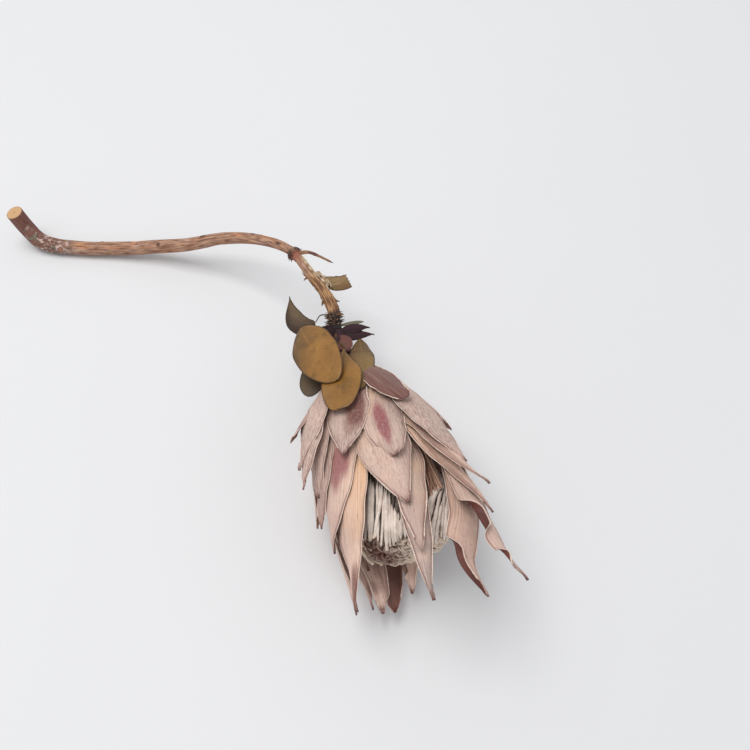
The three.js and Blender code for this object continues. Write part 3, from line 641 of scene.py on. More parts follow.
def add_blade(shape, points, normals, thickness, finishes, grain, **paints):
    """A thin closed blade from its middle surface. finishes are those of its two faces."""
    rows, columns = points.shape[:2]
    half = np.broadcast_to(thickness, (rows, columns))[..., None] / 2
    upper, lower = points + normals * half, points - normals * half
    both = np.concatenate([upper.reshape(-1, 3), lower.reshape(-1, 3)])
    under = rows * columns
    top = grid_faces(rows, columns)
    bottom = [tuple(v + under for v in face[::-1]) for face in top]
    rim = []
    for i in range(rows - 1):
        a, b = i * columns, (i + 1) * columns
        rim.append((a, b, under + b, under + a))
        a, b = a + columns - 1, b + columns - 1
        rim.append((a, under + a, under + b, b))
    for j in range(columns - 1):
        a = j
        rim.append((a + 1, a, under + a, under + a + 1))
        a = (rows - 1) * columns + j
        rim.append((a, a + 1, under + a + 1, under + a))
    doubled = {
        name: np.tile(np.ravel(np.broadcast_to(v, (rows, columns))), 2) for name, v in paints.items()}
    grain = np.tile(grain.reshape(-1, 2), (2, 1))
    start = len(shape.finishes)
    shape.add(both, top + bottom + rim, finishes[0], grain, **doubled)
    shape.finishes[start + len(top):start + len(top) + len(bottom)] = [finishes[1]] * len(bottom)


# Materials


class Nodes:
    """Adds nodes to a tree, from left to right, and joins them."""

    def __init__(self, tree):
        self.tree = tree
        self.placed = 0

    def add(self, kind, inputs=None, **settings):
        node = self.tree.nodes.new(kind)
        node.location = (self.placed % 12 * 190, -(self.placed // 12) * 320)
        self.placed += 1
        for name, value in settings.items():
            setattr(node, name, value)
        for name, value in (inputs or {}).items():
            if isinstance(value, bpy.types.NodeSocket):
                self.tree.links.new(value, node.inputs[name])
            else:
                node.inputs[name].default_value = value
        return node

    def maths(self, operation, a, b=0.0, clamp=False):
        node = self.add("ShaderNodeMath", {0: a, 1: b}, operation=operation)
        node.use_clamp = clamp
        return node.outputs[0]

    def fit(self, value, low, high, to_low=0.0, to_high=1.0):
        inputs = {"Value": value, "From Min": low, "From Max": high, "To Min": to_low, "To Max": to_high}
        return self.add("ShaderNodeMapRange", inputs).outputs[0]

    def mix(self, a, b, factor):
        """A colour between two others."""
        a, b = [c if isinstance(c, bpy.types.NodeSocket) else (*c[:3], 1) for c in (a, b)]
        return self.add("ShaderNodeMix", {0: factor, 6: a, 7: b}, data_type="RGBA").outputs[2]

    def paint(self, name):
        return self.add("ShaderNodeAttribute", attribute_name=name).outputs["Fac"]

    def share(self, name, value):
        """So much of a paint as the value lets through."""
        return self.maths("MULTIPLY", self.paint(name), value, clamp=True)

    def place(self):
        return self.add("ShaderNodeTexCoord").outputs["Object"]

    def grain(self, across, down):
        """The grain map, stretched by so much across and down."""
        uv = self.add("ShaderNodeUVMap", uv_map="grain").outputs[0]
        return self.add("ShaderNodeMapping", {"Vector": uv, "Scale": (across, down, 1)}).outputs[0]

    def noise(self, vector, scale, detail=3.0, roughness=0.55):
        inputs = {"Vector": vector, "Scale": scale, "Detail": detail, "Roughness": roughness}
        return self.add("ShaderNodeTexNoise", inputs).outputs["Fac"]

    def group(self, tree, inputs):
        return self.add("ShaderNodeGroup", inputs, node_tree=tree)


def new_group(name, inputs, outputs):
    """An empty node group whose sockets are all plain values. Each input has its default."""
    tree = bpy.data.node_groups.new(name, "ShaderNodeTree")
    for label, default in inputs.items():
        socket = tree.interface.new_socket(label, in_out="INPUT", socket_type="NodeSocketFloat")
        socket.default_value = default
    for label in outputs:
        tree.interface.new_socket(label, in_out="OUTPUT", socket_type="NodeSocketFloat")
    nodes = Nodes(tree)
    return tree, nodes, nodes.add("NodeGroupInput").outputs


def group_of(name, build):
    """The node group of that name, built once."""
    return bpy.data.node_groups.get(name) or build(name)


def build_fibres(name):
    """Fine lines along the grain, broken here and there."""
    tree, nodes, given = new_group(name, {"Across": 3.0, "Down": 0.12, "Contrast": 0.5}, ["Value"])
    uv = nodes.add("ShaderNodeUVMap", uv_map="grain").outputs[0]
    inputs = {"X": given["Across"], "Y": given["Down"], "Z": 1.0}
    scale = nodes.add("ShaderNodeCombineXYZ", inputs).outputs[0]
    stretched = nodes.add("ShaderNodeVectorMath", {0: uv, 1: scale}, operation="MULTIPLY").outputs[0]
    lines = nodes.noise(stretched, 1.0, 4.0, 0.6)
    spread = nodes.maths("MULTIPLY", nodes.maths("SUBTRACT", lines, 0.5), given["Contrast"])
    value = nodes.maths("ADD", nodes.maths("MULTIPLY", spread, 2.0), 0.5, clamp=True)
    nodes.add("NodeGroupOutput", {"Value": value})
    return tree


def build_specks(name):
    """Small scattered spots. Amount is the share of cells that have one."""
    tree, nodes, given = new_group(name, {"Scale": 300.0, "Size": 0.25, "Amount": 0.2}, ["Mask"])
    cells = nodes.add("ShaderNodeTexVoronoi", {"Vector": nodes.place(), "Scale": given["Scale"]})
    pick = nodes.add("ShaderNodeSeparateColor", {"Color": cells.outputs["Color"]}).outputs[0]
    chosen = nodes.maths("LESS_THAN", pick, given["Amount"])
    soft = nodes.fit(cells.outputs["Distance"], 0.0, given["Size"], 1.0, 0.0)
    nodes.add("NodeGroupOutput", {"Mask": nodes.maths("MULTIPLY", chosen, soft)})
    return tree


def build_mottle(name):
    """Soft cloudy patches. Low and High are where they begin and end."""
    tree, nodes, given = new_group(name, {"Scale": 80.0, "Low": 0.4, "High": 0.6}, ["Value"])
    clouds = nodes.noise(nodes.place(), given["Scale"], 4.0, 0.6)
    nodes.add("NodeGroupOutput", {"Value": nodes.fit(clouds, given["Low"], given["High"])})
    return tree


def build_margin(name):
    """The pale line along a margin and a line of painted shade beside it, both a little ragged."""
    tree, nodes, given = new_group(name, {"Inset": 1.0}, ["Rim", "Beside"])
    ragged = nodes.maths("MULTIPLY", nodes.maths("SUBTRACT", nodes.noise(nodes.place(), 800), 0.5), 0.16)
    inset = nodes.maths("ADD", given["Inset"], ragged)
    rim = nodes.fit(inset, 0.05, 0.14, 1.0, 0.0)
    beside = nodes.maths("MULTIPLY", nodes.fit(inset, 0.08, 0.15), nodes.fit(inset, 0.18, 0.42, 1.0, 0.0))
    nodes.add("NodeGroupOutput", {"Rim": rim, "Beside": beside})
    return tree


def margin_lines(nodes):
    return nodes.group(group_of("margin_lines", build_margin), {"Inset": nodes.paint("inset")}).outputs


def fibres(nodes, across, down, contrast):
    inputs = {"Across": across, "Down": down, "Contrast": contrast}
    return nodes.group(group_of("grain_fibres", build_fibres), inputs).outputs[0]


def specks(nodes, scale, size, amount):
    inputs = {"Scale": scale, "Size": size, "Amount": amount}
    return nodes.group(group_of("scattered_specks", build_specks), inputs).outputs[0]


def mottle(nodes, scale, low, high):
    inputs = {"Scale": scale, "Low": low, "High": high}
    return nodes.group(group_of("cloudy_mottle", build_mottle), inputs).outputs[0]


def new_finish(name, sheen=0.0):
    """A material with its shader, and the nodes to build its colour with."""
    material = bpy.data.materials.new(name)
    material.use_nodes = True
    material.node_tree.nodes.clear()
    nodes = Nodes(material.node_tree)
    shader = nodes.add("ShaderNodeBsdfPrincipled", {"Sheen Weight": sheen, "Sheen Roughness": 0.5})
    nodes.add("ShaderNodeOutputMaterial", {"Surface": shader.outputs[0]})
    return material, nodes, shader


def set_surface(nodes, shader, colour, roughness, height, strength, distance):
    """Joins a colour, a roughness and a height to a material's shader."""
    bump = nodes.add("ShaderNodeBump", {"Height": height, "Strength": strength, "Distance": distance * MM})
    for name, value in (("Base Color", colour), ("Roughness", roughness), ("Normal", bump.outputs[0])):
        nodes.tree.links.new(value, shader.inputs[name])


def bract_outside(look):
    """Dusty pink, peach at the base and greyer at the end, stained and stippled with velvet, with a pale
    margin, a line of painted shade beside it and painted shade over its base."""
    material, nodes, shader = new_finish("bract_outside", sheen=0.12)
    colour = nodes.mix(look.skin, look.bloom, mottle(nodes, 40, 0.38, 0.6))
    colour = nodes.mix(colour, look.peach, nodes.share("peach", mottle(nodes, 45, 0.2, 0.5)))
    colour = nodes.mix(colour, look.grey, nodes.share("grey", mottle(nodes, 110, 0.25, 0.55)))
    lines = fibres(nodes, 1.3, 0.025, 1.0)
    fine = fibres(nodes, 3.4, 0.06, 0.9)
    colour = nodes.mix(colour, look.shade, nodes.fit(lines, 0.45, 0.1, 0.0, 0.55))
    colour = nodes.mix(colour, look.rim, nodes.fit(lines, 0.6, 0.95, 0.0, 0.5))
    colour = nodes.mix(colour, look.shade, nodes.fit(fine, 0.4, 0.15, 0.0, 0.35))
    stipple = nodes.fit(nodes.noise(nodes.place(), 1250, 2.0, 0.6), 0.42, 0.58, 0.85, 1.0)
    colour = nodes.mix(colour, look.blush, nodes.share("blush", stipple))
    colour = nodes.mix(colour, look.stain, nodes.share("stain", stipple))
    # The dark tint: dried tips, a dark cast, and painted shade at the base of each bract
    colour = nodes.mix(colour, look.dark, nodes.share("dark", nodes.fit(fine, 0.75, 0.4, 0.72, 1.0)))
    wool = nodes.noise(nodes.grain(1.6, 0.35), 1.0, 4.0, 0.7)
    colour = nodes.mix(colour, look.stain, nodes.share("fuzz", nodes.fit(wool, 0.49, 0.4, 0.0, 0.8)))
    colour = nodes.mix(colour, look.fuzz, nodes.share("fuzz", nodes.fit(wool, 0.53, 0.63)))
    scratches = nodes.fit(nodes.noise(nodes.grain(0.9, 0.08), 1.0, 2.0), 0.66, 0.72, 0.0, 0.7)
    colour = nodes.mix(colour, look.speck, scratches)
    colour = nodes.mix(colour, look.speck, nodes.maths("MULTIPLY", specks(nodes, 380, 0.2, 0.14), 0.85))
    rim, beside = margin_lines(nodes)
    # Painted shade in a line beside each margin, under its raised lip
    colour = nodes.mix(colour, look.stain, nodes.maths("MULTIPLY", beside, 0.65))
    colour = nodes.mix(colour, look.rim, nodes.maths("MULTIPLY", rim, mottle(nodes, 150, 0.1, 0.5)))
    height = nodes.maths("ADD", nodes.maths("ADD", lines, fine), nodes.maths("MULTIPLY", wool, 0.8))
    set_surface(nodes, shader, colour, nodes.fit(lines, 0.0, 1.0, 0.65, 0.85), height, 0.65, 0.35)
    return material


def bract_inside(look):
    """Smooth, brown-red to maroon, or a pale pink-brown, with a pale margin and painted shade at its base.
    """
    material, nodes, shader = new_finish("bract_inside", sheen=0.05)
    colour = nodes.mix(look.inside, look.inside_light, mottle(nodes, 70, 0.4, 0.7))
    lines = fibres(nodes, 1.8, 0.04, 0.9)
    colour = nodes.mix(colour, look.inside_dark, nodes.fit(lines, 0.6, 0.2, 0.0, 0.6))
    pale = nodes.mix(look.inside_pale, look.inside_light, nodes.fit(lines, 0.5, 0.15, 0.0, 0.6))
    colour = nodes.mix(colour, pale, nodes.share("pale", mottle(nodes, 60, 0.2, 0.5)))
    # The dark tint here also paints shade at the base of each bract
    colour = nodes.mix(colour, look.dark, nodes.share("dark", mottle(nodes, 300, 0.2, 0.5)))
    rim, _ = margin_lines(nodes)
    colour = nodes.mix(colour, look.rim, nodes.maths("MULTIPLY", rim, 0.8))
    set_surface(nodes, shader, colour, nodes.fit(lines, 0.0, 1.0, 0.45, 0.7), lines, 0.5, 0.25)
    return material


def silky_fringe(look):
    """The pale hairs along a margin."""
    material, nodes, shader = new_finish("silky_fringe", sheen=0.2)
    colour = nodes.mix(look.rim, look.shade, mottle(nodes, 500, 0.45, 0.75))
    height = nodes.noise(nodes.place(), 4000)
    set_surface(nodes, shader, colour, nodes.fit(height, 0.3, 0.7, 0.6, 0.8), height, 0.1, 0.05)
    return material


def style_finish(look):
    """Ivory strands with grey wool, with painted shade between them and where they lie deep, browner at
    their ends.
    """
    material, nodes, shader = new_finish("ivory_styles", sheen=0.1)
    colour = nodes.mix(look.style, look.style_grey, mottle(nodes, 160, 0.44, 0.6))
    lines = fibres(nodes, 9.0, 0.18, 1.0)
    # Painted shade in the grooves between the fibres
    colour = nodes.mix(colour, look.groove, nodes.fit(lines, 0.36, 0.1, 0.0, 0.3))
    colour = nodes.mix(colour, look.curl, nodes.share("brown", mottle(nodes, 400, 0.3, 0.6)))
    colour = nodes.mix(colour, look.dusk, nodes.paint("dusk"))
    # Painted shade where the strands lie deep in the mass
    colour = nodes.mix(colour, look.groove, nodes.paint("deep"))
    set_surface(nodes, shader, colour, nodes.fit(lines, 0.0, 1.0, 0.7, 0.9), lines, 0.5, 0.2)
    return material


def leaf_finish(look, name, colours, gloss):
    """Dry leather with a midrib, side veins, a darker margin and small blemishes."""
    base, light, dark = colours
    material, nodes, shader = new_finish(f"leaf_{name}")
    colour = nodes.mix(base, light, mottle(nodes, 55, 0.35, 0.65))
    colour = nodes.mix(colour, dark, mottle(nodes, 90, 0.5, 0.76))
    colour = nodes.mix(colour, dark, nodes.share("shade", mottle(nodes, 120, 0.2, 0.55)))
    pores = nodes.noise(nodes.place(), 1900, 2.0)
    colour = nodes.mix(colour, dark, nodes.fit(pores, 0.56, 0.72, 0.0, 0.5))
    colour = nodes.mix(colour, light, nodes.maths("MULTIPLY", nodes.paint("vein"), 0.6))
    colour = nodes.mix(colour, look.blemish, nodes.maths("MULTIPLY", specks(nodes, 230, 0.13, 0.16), 0.85))
    streaks = nodes.fit(nodes.noise(nodes.grain(0.7, 0.12), 1.0, 3.0), 0.66, 0.74, 0.0, 0.5)
    colour = nodes.mix(colour, look.blemish, streaks)
    colour = nodes.mix(colour, look.blemish, nodes.maths("MULTIPLY", nodes.paint("rim"), 0.8))
    roughness = nodes.fit(pores, 0.3, 0.7, gloss, gloss + 0.15)
    height = nodes.maths("ADD", pores, nodes.paint("vein"))
    set_surface(nodes, shader, colour, roughness, height, 0.35, 0.15)
    return material


def bark_finish(look):
    """Bark that changes along the stem: flaky grey, brown-pink, reddish, torn fibres, charred."""
    material, nodes, shader = new_finish("bark")
    lines = fibres(nodes, 22.0, 0.1, 1.0)
    colour = nodes.mix(look.bark, look.bark_light, nodes.fit(lines, 0.35, 0.75))
    streaks = nodes.fit(nodes.noise(nodes.grain(9.0, 0.04), 1.0, 3.0), 0.52, 0.64)
    colour = nodes.mix(colour, look.streak, nodes.maths("MULTIPLY", streaks, 0.6))
    greyer = nodes.fit(nodes.noise(nodes.grain(5.0, 0.06), 1.0, 4.0, 0.65), 0.54, 0.66)
    colour = nodes.mix(colour, look.flake, nodes.maths("MULTIPLY", greyer, 0.35))
    colour = nodes.mix(colour, look.maroon, nodes.paint("maroon"))
    scales = nodes.noise(nodes.place(), 300, 4.0, 0.65)
    flakes = nodes.fit(scales, 0.5, 0.54)
    colour = nodes.mix(colour, look.knot, nodes.share("flake", nodes.fit(scales, 0.45, 0.5, 0.0, 0.8)))
    tinted = nodes.mix(look.flake, look.lichen, mottle(nodes, 160, 0.48, 0.56))
    colour = nodes.mix(colour, tinted, nodes.share("flake", flakes))
    colour = nodes.mix(colour, look.red, nodes.paint("red"))
    torn = nodes.mix(look.torn, look.torn_light, nodes.fit(lines, 0.42, 0.64))
    colour = nodes.mix(colour, torn, nodes.paint("torn"))
    colour = nodes.mix(colour, look.strip, nodes.paint("strip"))
    colour = nodes.mix(colour, look.scar, nodes.share("scar", nodes.fit(lines, 0.3, 0.65)))
    cracks = nodes.fit(nodes.noise(nodes.grain(16.0, 0.16), 1.0, 2.0), 0.68, 0.74)
    colour = nodes.mix(colour, look.knot, nodes.maths("MULTIPLY", cracks, 0.7))
    colour = nodes.mix(colour, look.groove, nodes.fit(lines, 0.42, 0.14, 0.0, 0.8))
    colour = nodes.mix(colour, look.knot, nodes.paint("knot"))
    colour = nodes.mix(colour, look.char, nodes.paint("char"))
    height = nodes.maths("ADD", lines, nodes.share("flake", flakes))
    set_surface(nodes, shader, colour, nodes.fit(lines, 0.0, 1.0, 0.7, 0.9), height, 0.8, 0.4)
    return material


def cut_wood(look):
    """The pale cut face, with growth rings round its pith and a few cracks out from it."""
    material, nodes, shader = new_finish("cut_wood")
    reach = nodes.paint("reach")
    wave = nodes.noise(nodes.place(), 260, 2.0)
    phase = nodes.maths("MULTIPLY", reach, GROWTH["phase"])
    waver = nodes.maths("MULTIPLY", wave, GROWTH["waver"])
    ringed = nodes.maths("SINE", nodes.maths("ADD", phase, waver))
    colour = nodes.mix(look.wood, look.wood_dark, nodes.fit(ringed, 0.2, 1.0, 0.0, 0.5))
    colour = nodes.mix(colour, look.wood_dark, nodes.fit(reach, 0.16, 0.08))
    colour = nodes.mix(colour, look.bark, nodes.fit(reach, 0.9, 0.99))
    grit = nodes.noise(nodes.place(), 2600, 3.0)
    set_surface(nodes, shader, colour, nodes.fit(grit, 0.3, 0.7, 0.8, 0.95), grit, 0.4, 0.2)
    return material


def dark_bract(look):
    """The small dark purple bracts on the collar. One of them is pinker, and one grey-green."""
    material, nodes, shader = new_finish("collar_dark")
    lines = fibres(nodes, 5.0, 0.1, 0.9)
    colour = nodes.mix(look.purple, look.purple_light, nodes.fit(lines, 0.4, 0.75))
    colour = nodes.mix(colour, look.pink_brown, nodes.paint("tone_pink"))
    colour = nodes.mix(colour, look.grey_green, nodes.paint("tone_grey"))
    set_surface(nodes, shader, colour, nodes.fit(lines, 0.0, 1.0, 0.75, 0.95), lines, 0.5, 0.2)
    return material


# Sizes and colours that a user would change


def colour_of(name, description, rgb):
    """A colour setting. rgb is what the eye sees, from 0 to 255, and is kept as scene values."""
    seen = [value / 255 for value in rgb]
    linear = [c / 12.92 if c <= 0.04045 else ((c + 0.055) / 1.055) ** 2.4 for c in seen]
    return FloatVectorProperty(
        name=name, description=description, default=linear, size=3, min=0, max=1, subtype="COLOR")


def size_of(name, description, millimetres):
    """A length setting, given in millimetres and kept in metres."""
    return FloatProperty(
        name=name, description=description, default=millimetres * MM, min=0, unit="LENGTH",
        subtype="DISTANCE")


class BractSettings(PropertyGroup):
    thickness: size_of("Thickness", "Thickness of a bract along its middle", 0.6)
    margin: size_of("Margin thickness", "Thickness of a bract at its margins", 0.35)
    fringe: size_of("Fringe length", "Length of the hairs along a margin", 1.1)
    skin: colour_of("Skin", "Dusty pink of the outside", (234, 202, 186))
    bloom: colour_of("Bloom", "Greyer pink, in patches", (206, 174, 162))
    peach: colour_of("Peach", "Yellow-pink towards the base", (234, 188, 148))
    grey: colour_of("Grey", "Grey-lavender towards the end", (186, 168, 160))
    shade: colour_of("Shade", "Lines along the blade", (156, 120, 108))
    blush: colour_of("Blush", "Magenta patches", (150, 82, 88))
    # Stain also paints the line of shade beside each margin
    stain: colour_of("Stain", "Purple-brown patches, and gaps in the velvet", (112, 62, 56))
    # Dark also paints the shade at the base of each bract
    dark: colour_of("Dark", "Brown-red of the dried tips", (96, 46, 40))
    fuzz: colour_of("Fuzz", "Silvery hairs on the outside", (224, 208, 198))
    speck: colour_of("Specks", "Small brown specks", (104, 66, 52))
    rim: colour_of("Rim", "Pale margin and its hairs", (240, 218, 204))
    inside: colour_of("Inside", "Brown-red of the inner face", (86, 35, 27))
    inside_light: colour_of("Inside, lighter", "Lighter patches of the inner face", (116, 60, 46))
    inside_dark: colour_of("Inside, darker", "Darker lines of the inner face", (52, 19, 16))
    inside_pale: colour_of("Inside, pale", "Inner face of the paler bracts", (252, 222, 208))


class FloretSettings(PropertyGroup):
    strands: IntProperty(name="Strands", description="Styles in the outer ring", default=50, min=12, max=90)
    curls: IntProperty(
        name="Curled ends", description="Curled ends on the dome", default=760, min=50, max=1500)
    filaments: IntProperty(
        name="Filaments", description="Thin brown threads at the side", default=32, min=0, max=90)
    style: colour_of("Style", "Ivory of the strands", (250, 236, 224))
    style_grey: colour_of("Style, greyer", "Greyer patches of the strands", (226, 210, 198))
    # Groove is painted shade, between the strands and where they lie deep
    groove: colour_of("Groove", "The dark between strands", (80, 62, 52))
    curl: colour_of("Curled ends", "Grey-brown of the curled ends", (254, 230, 202))
    thread: colour_of("Paler threads", "Pink-tan of some of the thin threads", (228, 188, 162))
    dusk: colour_of("Dusky ends", "Purple-brown of the ends at one side", (122, 80, 68))
    filament: colour_of("Filament", "Brown-red of the thin threads", (146, 96, 72))


class LeafSettings(PropertyGroup):
    thickness: size_of("Thickness", "Thickness of a leaf along its middle", 0.8)
    margin: size_of("Margin thickness", "Thickness of a leaf at its margins", 0.4)
    ochre: colour_of("Ochre", "The two large leaves", (130, 89, 33))
    ochre_light: colour_of("Ochre, lighter", "Lighter patches and veins", (154, 108, 46))
    ochre_dark: colour_of("Ochre, darker", "Darker patches", (82, 59, 23))
    olive: colour_of("Olive", "The green-brown leaf", (104, 75, 38))
    olive_light: colour_of("Olive, lighter", "Lighter patches and veins", (132, 105, 59))
    olive_dark: colour_of("Olive, darker", "Darker patches", (72, 51, 29))
    brown: colour_of("Brown", "The folded leaf", (72, 49, 31))
    brown_light: colour_of("Brown, lighter", "Lighter patches and veins", (98, 79, 53))
    brown_dark: colour_of("Brown, darker", "Darker patches", (52, 35, 23))
    grey: colour_of("Grey", "The small grey-green leaf", (62, 46, 31))
    grey_light: colour_of("Grey, lighter", "Lighter patches and veins", (90, 72, 50))
    grey_dark: colour_of("Grey, darker", "Darker patches", (40, 30, 22))
    torn: colour_of("Torn", "The torn leaf", (124, 92, 60))
    torn_light: colour_of("Torn, lighter", "Lighter patches and veins", (148, 122, 78))
    torn_dark: colour_of("Torn, darker", "Darker patches", (92, 66, 44))
    blemish: colour_of("Blemish", "Dark margin and spots", (60, 38, 24))


class StemSettings(PropertyGroup):
    relief: size_of("Relief", "Depth of the bark's furrows", 0.3)
    bark: colour_of("Bark", "Pink-brown bark", (136, 98, 78))
    bark_light: colour_of("Bark, lighter", "Lighter fibres", (190, 150, 124))
    streak: colour_of("Streak", "Orange streaks", (168, 108, 72))
    maroon: colour_of("Maroon", "Bark by the cut end", (116, 72, 64))
    flake: colour_of("Flake", "Grey-pink flaking skin", (206, 176, 168))
    lichen: colour_of("Flake, greyer", "Olive-grey flakes", (128, 120, 104))
    red: colour_of("Red", "Bark above the ring", (146, 80, 62))
    torn: colour_of("Torn", "Torn bark", (120, 80, 52))
    torn_light: colour_of("Torn, lighter", "Lighter torn fibres", (186, 144, 102))
    strip: colour_of("Strip", "Pale strip above the ring", (238, 220, 190))
    scar: colour_of("Scar", "Orange scars", (198, 138, 96))
    knot: colour_of("Knot", "Dark knots and cracks", (74, 46, 38))
    char: colour_of("Char", "Blackened end", (38, 28, 28))
    groove: colour_of("Groove", "Bottom of the furrows", (88, 58, 46))
    wood: colour_of("Wood", "Cut face", (206, 166, 124))
    wood_dark: colour_of("Wood, darker", "Rings and pith of the cut face", (168, 124, 86))
    purple: colour_of("Purple", "Dark bracts on the collar", (30, 14, 18))
    purple_light: colour_of("Purple, lighter", "Lighter lines on them", (74, 40, 48))
    pink_brown: colour_of("Pink-brown", "The paler bract on the collar", (108, 66, 60))
    grey_green: colour_of("Grey-green", "The narrow strap on the collar", (110, 106, 88))


class StageSettings(PropertyGroup):
    floor: colour_of("Floor", "Plain pale floor", (222, 223, 226))
    sky: FloatProperty(name="Sky", description="Strength of the light from all round", default=0.62, min=0)
    key: FloatProperty(
        name="Key light", description="Power of the large soft light", default=37.0, min=0, unit="POWER")


# The bloom


def bract_outline(bract, t):
    """The share of its full width that a bract has at t."""
    widest, taper = bract["widest"], bract["taper"]
    opening = lerp(ROOT_WIDTH, 1, np.sin(np.pi / 2 * np.minimum(t / widest, 1)))
    closing = np.cos(np.pi / 2 * np.clip((t - widest) / (1 - widest), 0, 1)) ** taper
    return np.where(t < widest, opening, closing)


def softened(values, reach):
    """The values with their kinks rounded off."""
    kernel = np.hanning(2 * reach + 3)[1:-1]
    padded = np.pad(values, reach, mode="edge")
    return np.convolve(padded, kernel / kernel.sum(), mode="valid")


def add_bract(shape, bract, seat, rng, cells, look, finishes=(0, 1, 2)):
    """One bract: a thin blade that is waved, creased and pointed, with hairs along its margins."""
    t, u = blade_grid(cells)
    root, reach, turn = bract["root"], bract["reach"], bract["turn"]
    root_radius = profile_radius(seat, root) - ROOT_SINK
    s = lerp(root, reach, t)
    own = through(root_radius, bract["belly"], bract["flare"], t)
    own = own + bract.get("full", 0) * np.sin(np.pi * np.minimum(t / 0.8, 1))
    overlap = LAYER_RISE * (INNERMOST_ROOT - root)
    clear = profile_radius(FLORET_MASS, s) + STYLE_RIB + SOLID_THICK + GAP + overlap
    beside = (s > FLORET_MASS[0][0]) & (s < FLORET_MASS[-1][0])
    radius = softened(np.where(beside, np.maximum(own, clear), own), 3)
    size = (reach - root) / 100
    tip = ease(0.8, 1, t)
    radius = radius + bract.get("hook", 0) * tip ** 2
    radius = radius + BRACT_WAVES["radius"] * wobble(t, rng, 0.6, 1.8) * ease(0, 0.4, t)
    place, degrees = bract.get("sway", (1, 0))
    swing = through(*turn, t) + degrees * np.exp(-((t - place) / SWAY_LENGTH) ** 2)
    swing = swing + BRACT_WAVES["swing"] * wobble(t, rng, 0.5, 1.6) * ease(0.1, 0.6, t)
    line = on_head(s, radius, swing)
    facing = np.broadcast_to(unit(bract["face"]), line.shape) if "face" in bract else outward(swing)
    most = BRACT_WAVES["tip_twist"]
    twist = rng.uniform(-most, most) * tip + BRACT_WAVES["twist"] * wobble(t, rng, 0.5, 1.5)
    side = unit(np.cross(np.gradient(line, axis=0), facing))
    facing = unit(facing + side * np.tan(twist)[:, None])
    edge = np.abs(u)[None, :]
    ragged = each_hand(t, u, rng, 2, 8)
    half = np.maximum(0.5, bract["width"] * bract_outline(bract, t)) / 2
    half = half[:, None] * (1 + BRACT_WAVES["width"] * ragged * edge)
    bend = BRACT_BEND["base"] + BRACT_BEND["tip"] * t ** 4
    curl = np.zeros((len(t), len(u)))
    for hand, start, rolled, end, degrees, inner, outer in bract.get("rolls", ()):
        stretch = ease(start, rolled, t) * (1 - ease(end - 0.06, end, t))
        beyond = ease(inner, outer, hand * u)[None, :]
        curl = curl - hand * math.radians(degrees) * beyond * stretch[:, None]
    relief = bract_relief(bract, t, u, size, tip, rng)
    points, normals = blade_surface(t, u, line, facing, half, bend, curl, relief)
    lowest = SOLID_THICK / 2 + FLOOR_CLEAR + LAYER_RISE * max(0, root - RESTING_ROOT)
    pressed = points[..., 2] < lowest
    points[..., 2] = np.where(pressed, lowest, points[..., 2])
    thickness = lerp(look.thickness, look.margin, edge ** 2.5) / MM
    tints = bract_paints(bract, t, u, (1 - edge) * half, rng)
    grain = blade_grain(t, u, half, reach - root)
    add_blade(shape, points, normals, thickness, finishes[:2], grain, **tints)
    if finishes[2] is not None:
        add_fringe(shape, points, normals, look, rng, finishes[2])


def bract_relief(bract, t, u, size, tip, rng):
    """How far each point of a bract stands out: waved sides, creases, pleats and a raised lip."""
    edge, free = np.abs(u)[None, :], ease(0.05, 0.35, t)[:, None]
    relief = 0.75 * size * edge ** 3 * each_hand(t, u, rng, 2, 6) * free
    for _ in range(CREASES):
        place, depth, slim = rng.uniform(-0.85, 0.85), rng.uniform(-0.45, 0.3), rng.uniform(0.04, 0.12)
        path = place + 0.08 * wobble(t, rng, 0.4, 1.2)
        reach = ease(-0.2, 0.3, wobble(t, rng, 0.4, 1))[:, None]
        relief = relief + depth * np.exp(-((u[None, :] - path[:, None]) / slim) ** 2) * free * reach
    pleats = np.sin(2 * np.pi * (rng.uniform(5, 7) * u[None, :] + 0.2 * wobble(t, rng, 0.5, 2)[:, None]))
    relief = relief + 0.06 * pleats * free
    lip = 0.38 * ease(0.9, 1, edge) - 0.14 * np.exp(-((edge - 0.86) / 0.05) ** 2)
    relief = relief + lip * free * (1 + 0.5 * wobble(t, rng, 4, 12)[:, None])
    relief = relief * bract.get("calm", 1)
    crinkle = bract.get("crumple", 0.35) * 1.6 * tip[:, None] * edge
    return relief + crinkle * wobble(t, rng, 5, 9)[:, None]


